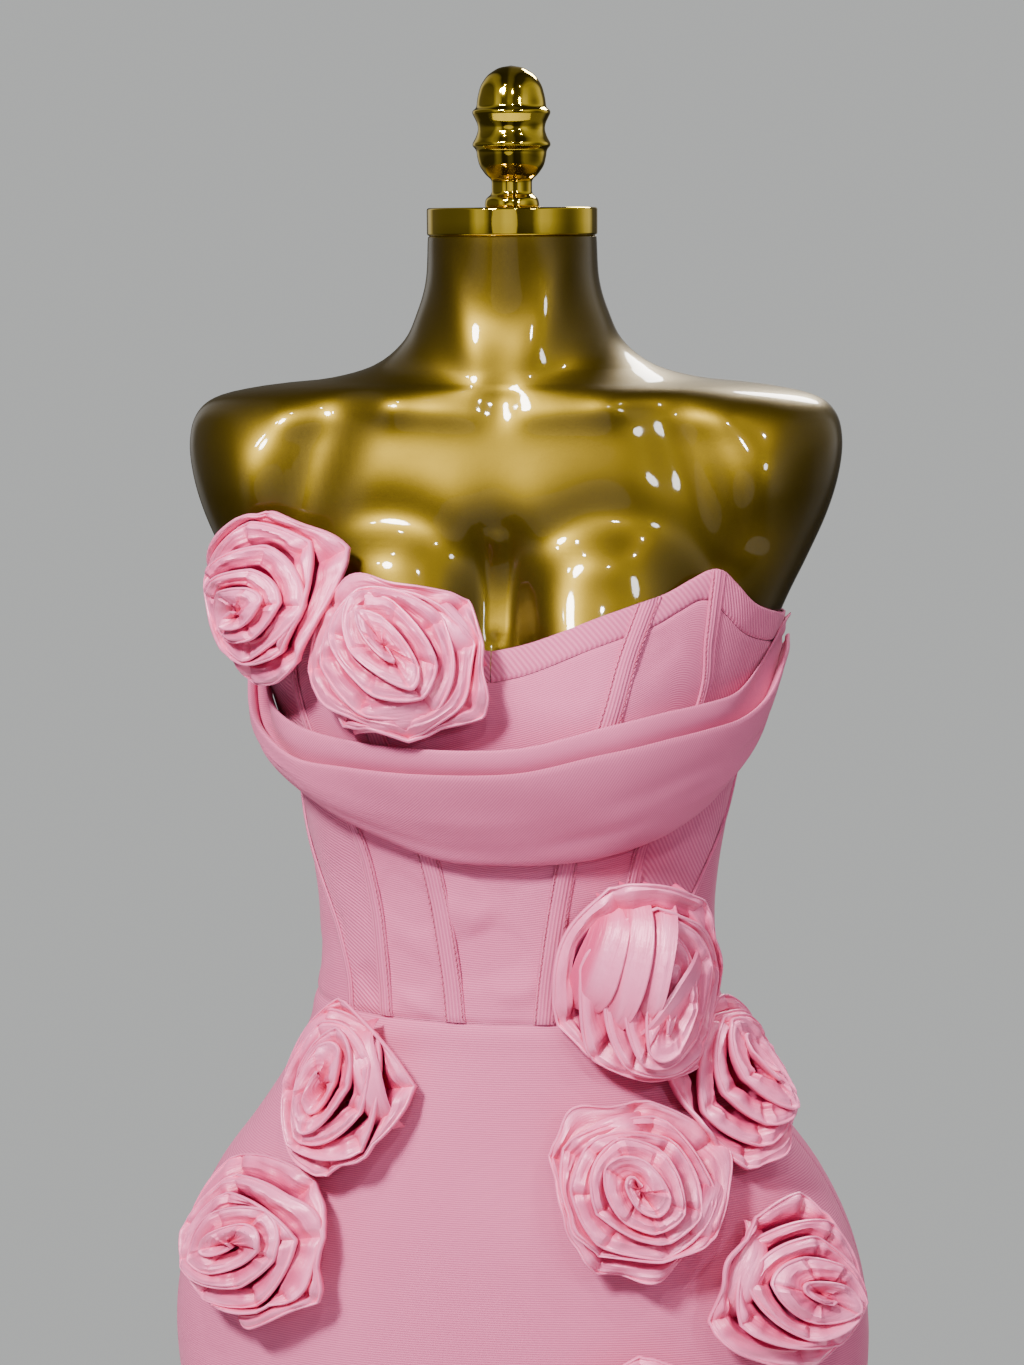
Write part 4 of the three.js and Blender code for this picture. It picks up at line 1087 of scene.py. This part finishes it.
def windRose(look):
    # column by column along the strip: its edges as shares of the rose's size, and its edges' heights
    columns, rise, seed = roseCloth["columns"], look["size"][2], look["seed"]
    turns = look["turns"] + roseCloth["slack"]
    whole = turns * fullTurn
    share = np.linspace(0, 1, columns) ** 0.62
    progress = share * whole
    turn = look["wind"] * (math.radians(look["end"]) - (whole - progress))
    apart = lambda angle: (np.degrees(turn) - angle + 180) % 360 - 180
    # corners at uneven steps round the winding
    corners = np.cumsum(np.random.default_rng(seed).uniform(0.8, 1.7, 70)) - 1.7
    after = np.searchsorted(corners, progress)
    last, following = corners[after - 1], corners[after]
    nearest = np.minimum(np.abs(progress - last), np.abs(following - progress))
    # the strip runs straight from corner to corner, and each length rises over the next
    straight = np.cos((following - last) / 2) / np.cos(progress - (last + following) / 2)
    along = (progress - last) / (following - last)
    lapped = along * (1 - ease((along - 0.86) / 0.14)) - 0.42
    # the rim's distance from the middle, always outside the wrap before
    cornered = (0.3 + 0.5 * look["corners"]) * (straight - 0.93)
    sway = 0.12 * softNoise(seed, progress * 0.9) + cornered + 0.05 * lapped
    spiral = (0.055 + 0.965 * share**0.76) * (1 + sway * (0.4 + 0.6 * share))
    rim = np.zeros(columns)
    inner = np.zeros(columns)
    for k in range(columns):
        if progress[k] < fullTurn:
            inner[k] = 0.012 + 0.02 * progress[k] / fullTurn
        else:
            inner[k] = np.interp(progress[k] - fullTurn, progress[:k], rim[:k])
        rim[k] = max(spiral[k], inner[k] + 0.2 / turns)
    for angle, reach, width, start in look["points"]:
        rim = rim + reach * np.exp(-((apart(angle) / width) ** 2)) * ease((share - start) / 0.1)
    # the strip's end is tucked under the wrap before it
    tucked = ease((whole - progress) / 0.55)
    under = inner - 0.03
    rim = under + (rim - under) * tucked
    high = rise * (1 - 0.66 * np.clip(spiral, 0, 1.12) ** 2.2 + 0.095 * softNoise(seed + 50, progress * 0.9))
    high = high + 0.04 * rise * np.exp(-((nearest / 0.2) ** 2)) * share
    high = high + 3.6 * lapped * (0.4 + 0.6 * share) - 4 * (1 - tucked)
    before = np.interp(progress - fullTurn, progress, high)
    before = np.where(progress < fullTurn, high - 3 * (1 - progress / fullTurn), before)
    drop = np.maximum(6.8 + 3.2 * softNoise(seed + 20, progress * 0.8), 3.2)
    low = np.minimum(before - drop, high - 1.5)
    return {
        "share": share, "progress": progress, "turn": turn, "turns": turns, "whole": whole, "apart": apart,
        "nearest": nearest, "under": under, "rim": rim, "low": low, "high": high,
    }


def foldStrip(look, wound):
    # across the strip at each column: distance from the middle, height over the knit, and how far it lies out
    # of the painted fold shade
    share, progress, nearest, under, rim, low, high = (
        wound[k] for k in ("share", "progress", "nearest", "under", "rim", "low", "high"))
    seed = look["seed"]
    size = sum(look["size"][:2]) / 2
    fold = 0.7 / size
    band, lift = rim - under, high - low
    bulge = 0.9 + 1.6 * softNoise(seed + 30, progress * 1.1)
    # up from the knit, tucked under the wrap before, rising over its band, and down outside its folded rim
    cut = np.array([
        (0.5 * under, 0 * low), (0.82 * under, 0.45 * low), (under, low),
        (under + 0.34 * band, low + 0.22 * lift + bulge), (under + 0.7 * band, low + 0.66 * lift + bulge),
        (rim - 1.3 * fold, high - 0.7), (rim - 0.3 * fold, high), (rim + 0.4 * fold, high - 0.5),
        (rim + 0.2 * fold, high - 2.4), (rim - 2.4 * fold, high - 6.0),
    ])
    radial, height = np.moveaxis(smoothRows(cut, roseCloth["rows"]), 1, 0)
    at = roseCloth["rows"][:, None]
    onBand = ease((at - 1.8) / 1.2) * ease((5.6 - at) / 1.2)
    fine = 0.8 * softNoise(seed + 9, progress * 2.4, at * 1.1)
    fine = fine + 0.5 * softNoise(seed + 10, progress * 5.5, at * 0.7)
    gather = np.sin(progress * 15 + 3 * softNoise(seed + 60, progress * 1.3))
    gather = gather * ease(softNoise(seed + 61, progress * 0.9) * 1.6 + 0.3)
    fine = fine * 1.25 + 0.9 * gather * ease((5.2 - at) / 2.6)
    # a pinch on both sides of each corner's sharp crease
    pinch = 1.3 * np.exp(-(((nearest - 0.16) / 0.07) ** 2)) - 2.6 * np.exp(-((nearest / 0.055) ** 2))
    pleat = 0
    for number, (middle, strength) in enumerate(roseCloth["pleats"]):
        pleatAt = middle + 0.75 * softNoise(seed + 41 + number, progress * 1.1)
        strength = strength * ease(softNoise(seed + 44 + number, progress * 0.8) * 2 + 0.7)
        pleat = pleat + np.exp(-np.abs(at - pleatAt) / 0.3) * strength
    height = height + onBand * (fine * (0.4 + 0.6 * share) + pinch * (0.35 + 0.65 * share) + 2.0 * pleat)
    for angle, spread, waves, depth in look["ruffles"]:
        away = wound["apart"](angle)
        window = np.exp(-((away / spread) ** 2)) * ease((share - 1 + 1.1 / wound["turns"]) / 0.08)
        wave = np.sin(np.radians(away) * waves + 0.8 * np.sin(progress * 2.3)) * window * ease((at - 3) / 2.5)
        height = height + depth * wave
        radial = radial + 0.4 * depth / size * wave
    # painted shade: darker deep in the cut under the wrap before and at the turned-down outer edge, lighter
    # on the pleats
    openness = -0.3 + 0.35 * np.clip(pleat, 0, 1) + 1.3 * np.interp(at, *zip(*roseCloth["openness"]))
    return radial, np.maximum(height, 0), openness


def spreadStrip(look, wound, radial):
    # places across and up from the rose's middle, which is drawn out along its slit and set off centre
    wide, tall = look["size"][:2]
    share, turn = wound["share"], wound["turn"]
    lean, drawn = math.radians(look["slit"][0]), look["slit"][1]
    first = np.cos(turn - lean) * radial * (1 + (drawn - 1) * (1 - share) ** 2.6)
    second = np.sin(turn - lean) * radial * (1 - (1 - 1 / drawn) * (1 - share) ** 2.2 * 0.9)
    off = (1 - share) ** 0.9
    x = (first * math.cos(lean) - second * math.sin(lean) + look["middle"][0] * off) * wide
    y = (first * math.sin(lean) + second * math.cos(lean) + look["middle"][1] * off) * tall
    # the outline brought to the rose's own size and middle
    outer = (wound["progress"] > wound["whole"] - fullTurn * 1.1)[None, :] & (roseCloth["rows"] > 4)[:, None]
    fitted = []
    for along, half in ((x, wide), (y, tall)):
        least, most = along[outer].min(), along[outer].max()
        fitted.append((along - (least + most) / 2 * share) * 2 * 1.02 * half / (most - least))
    return fitted


def crossingLength(look, band):
    # a length of the strip laid over the wraps, one edge standing up and the other tucked under
    wide, tall, rise = look["size"]
    x0, y0, x1, y1, width, over, tilt, bend = band
    u = np.linspace(0, 1, 54)[:, None]
    v = np.array(roseCloth["bandRows"])[None, :]
    arch = np.sin(math.pi * u)
    length = math.hypot((x1 - x0) * wide, (y1 - y0) * tall)
    sideways = v * width / 2 * (0.7 + 0.35 * arch + 0.1 * np.sin(5 * u + x0 * 9)) + bend * arch
    x = (x0 + (x1 - x0) * u) * wide - (y1 - y0) * tall / length * sideways
    y = (y0 + (y1 - y0) * u) * tall + (x1 - x0) * wide / length * sideways
    dome = rise * (1 - 0.6 * np.clip(np.hypot(x / wide, y / tall), 0, 1.15) ** 1.9)
    up = v * math.copysign(1, tilt)
    slope = 1.6 * abs(tilt) * up - 5.0 * ease((-up - 0.6) / 0.4) - 1.8 * ease((up - 0.9) / 0.1)
    pleats = np.exp(-np.abs(up - 0.1 - 0.35 * np.sin(3 * u + x1 * 5)) / 0.16)
    pleats = pleats + 0.6 * np.exp(-np.abs(up + 0.45 - 0.2 * np.sin(4 * u)) / 0.14)
    folds = slope + 1.2 * pleats * arch + 0.8 * np.sin(6 * u + y0 * 7)
    height = dome + over + 1.0 + folds - 14 * np.abs(2 * u - 1) ** 4
    # painted shade: darker towards the tucked edge and the plunging ends, lighter on the pleats
    openness = (0.1 + 0.9 * arch**0.7) * (1 - 0.95 * ease((0.1 - up) / 0.75)) - 0.1 + 0.3 * pleats
    return x, y, height, openness


def makeRose(name, look):
    wound = windRose(look)
    radial, height, openness = foldStrip(look, wound)
    lengths = [(*spreadStrip(look, wound, radial), height, openness)]
    lengths += [crossingLength(look, band) for band in look.get("bands", [])]
    root, outward, sideways, upward = roseAxes(look)
    grids, parts = [], []
    for number, (x, y, height, openness) in enumerate(lengths):
        flat = root + sideways * x[..., None] + upward * y[..., None]
        grid = flat + outward * (faceAlong(flat, outward) + (look["lift"] + height))[..., None]
        uv = clothUv(grid)
        if number:
            uv = uv[..., ::-1] + 0.1 * number
        grids.append(grid)
        parts.append(gridMesh(name + "_satin" + (str(number) if number else ""), grid, uv, openness))
    only(parts[0])
    for part in parts[1:]:
        part.select_set(True)
    if len(parts) > 1:
        bpy.ops.object.join()
    applied(parts[0], "SOLIDIFY", thickness=roseCloth["thick"] * mm, offset=0.0, use_rim=True)
    finish(parts[0], finishes["satin"], [name])
    # the strip's flat cut, a little less than it measures where its folds stretch it
    strip = sum(areaOf(grid) for grid in grids)
    width = runLength(grids[0], 0)[-1].mean() * mm
    strip / width / 0.98
    strip * 0.97


for roseName, roseLook in roses.items():
    makeRose(roseName, roseLook)
print("roses made")

# The zip: its coil on the tape, its slider and its pull
zipLook = {
    "pitch": 0.95, "thread": 0.42, "bevel": 0.22, "behindFace": 0.75, "tapeWidth": 5.3,
    # across the tape: place from its middle, and height over the coil's seat
    "tape": [
        (-2.6, -0.7), (-2.3, -0.45), (-1.7, -0.45), (-1.4, -0.1), (0, 0), (1.4, -0.1), (1.7, -0.45),
        (2.3, -0.45), (2.6, -0.7),
    ],
}


def zipPoint(across, z, lift):
    # a point beside the centre back, in millimetres across
    angle = 180 + across * angleOfLength(179.0, z, 1.0)
    return offForm(angle, z + 0 * across, knitFace - zipLook["behindFace"] + lift)


def makeZipTape():
    z = np.linspace(zipBottom + 0.6, topEdge(180.0) - 1.2, 150)[:, None]
    across, lift = np.array(zipLook["tape"]).T[:, None, :]
    points = zipPoint(across, z, lift)
    obj = gridMesh("zip_tape", points, clothUv(points))
    applied(obj, "SOLIDIFY", thickness=0.5 * mm, offset=-1.0, use_rim=True)
    finish(obj, finishes["zip"], ["zip_teeth"])
    area = areaOf(points)


def makeZipCoil():
    level = np.arange(zipBottom + 1.5, topEdge(180.0) - 2.0, zipLook["pitch"])
    side = np.where(np.arange(len(level)) % 2 == 0, 1.0, -1.0)
    turn = angleOfLength(179.0, level, 1.0)
    seat = knitFace - zipLook["behindFace"]
    outer = offForm(180 + 1.5 * side * turn, level - 0.12, seat)
    inner = offForm(180 - 0.75 * side * turn, level + 0.12, seat)
    backwards = np.zeros_like(outer) + (0.0, 1.0, 0.0)
    stitchRow("zip_coil", outer, inner, backwards, zipLook["thread"], finishes["zip"])


def bevelledCopy(node, name, body):
    # the solid's own shape, its edges eased
    obj = bpy.data.objects.new(name, bpy.data.objects[node].data.copy())
    bpy.context.scene.collection.objects.link(obj)
    inEditMode(obj, mergeDoubles, (bpy.ops.mesh.dissolve_limited, {"angle_limit": math.radians(1)}))
    sharp = {"limit_method": "ANGLE", "angle_limit": math.radians(30)}
    applied(obj, "BEVEL", width=zipLook["bevel"] * mm, segments=2, **sharp)
    finish(obj, finishes["zipMetal"], [node], body)


makeZipTape()
makeZipCoil()
bevelledCopy("zip_slider", "zip_slider_eased", dressBody)
bevelledCopy("zip_pull", "zip_pull_eased", "zip_pull")
print("zip made")

# Floor, light and air
bpy.ops.object.select_all(action="DESELECT")
bpy.ops.mesh.primitive_circle_add(vertices=96, radius=1.8, fill_type="NGON", location=(0, 0, -0.0005))
floor = bpy.context.object
floor.name = "studio_floor"
paper = Paint("pale_floor", {"Specular IOR Level": 0.2})
speck = paper.noise(paper.place(), 30, 4.0)
paper.feed("Base Color", paper.blend(paper.limit(speck), colour(214, 213, 211), colour(222, 221, 219)))
paper.feed("Roughness", 0.7 + speck * 0.1)
paper.feed("Normal", paper.bump(speck, 0.0006, 0.2))
floor.data.materials.append(paper.material)

# each lamp: place, what it points at, size, power and warmth
lamps = [
    ((-0.95, -2.25, 3.1), (0, 0, 1.15), 0.48, 165, (1.0, 0.98, 0.96)),
    ((1.7, -2.4, 2.5), (0, 0, 1.05), 0.32, 16, (0.96, 0.98, 1.0)),
    ((-0.2, -3.6, 1.4), (0, 0, 1.0), 2.2, 6, (1.0, 0.98, 0.96)),
    ((0.7, 2.2, 2.9), (0, 0, 1.1), 0.9, 75, (1.0, 0.98, 0.95)),
]
# small lamps for the bright points on the form: place, size and power
smallLamps = [
    (-1.0, -1.5, 2.6, 0.1, 10), (-0.45, -1.2, 2.9, 0.07, 8), (0.35, -1.7, 2.55, 0.09, 9),
    (1.05, -1.1, 2.8, 0.06, 8),
]
for x, y, z, size, power in smallLamps:
    lamps.append(((x, y, z), (0, 0, 1.3), size, power, (1.0, 0.96, 0.9)))
for place, target, size, power, warmth in lamps:
    bpy.ops.object.light_add(type="AREA", location=place)
    lamp = bpy.context.object
    lamp.rotation_euler = (Vector(target) - Vector(place)).to_track_quat("-Z", "Y").to_euler()
    lamp.data.shape = "DISK"
    lamp.data.size = size
    lamp.data.energy = power
    lamp.data.color = warmth
air = bpy.data.worlds.new("studio_air")
air.use_nodes = True
bpy.context.scene.world = air
sky = Paint("air", {}, air.node_tree)
sideways, _, upright = sky.parts(sky.wire(sky.add("TexCoord"), "Generated"))
# the room's soft light, as greys from one side to the other and from below to above
stretches = [
    (0.0, 0.1), (0.1, 0.12), (0.17, 0.6), (0.24, 0.5), (0.3, 0.06), (0.42, 0.08), (0.48, 0.3), (0.56, 0.28),
    (0.62, 0.06), (0.78, 0.09), (0.86, 0.7), (0.92, 0.6), (1.0, 0.1),
]
levels = [(0.0, 0.18), (0.38, 0.3), (0.5, 1.0), (0.64, 1.0), (0.8, 0.5), (1.0, 0.3)]
across = sky.add("ValToRGB", {"stops": stretches}, {0: sideways * 0.5 + 0.5})
above = sky.add("ValToRGB", {"stops": levels}, {0: upright * 0.5 + 0.5})
roomLight = air.node_tree.nodes["Background"]
sky.put(roomLight.inputs["Color"], sky.blend(1.0, sky.wire(across), sky.wire(above), "MULTIPLY"))
# the camera sees a plain pale backdrop instead
backdrop = sky.add("Background", {}, {"Color": (0.5, 0.51, 0.505, 1)})
seen = sky.wire(sky.add("LightPath"), "Is Camera Ray")
both = sky.add("MixShader", {}, {0: seen, 1: sky.wire(roomLight), 2: sky.wire(backdrop)})
sky.put(air.node_tree.nodes["World Output"].inputs["Surface"], sky.wire(both))
print("floor and light set")
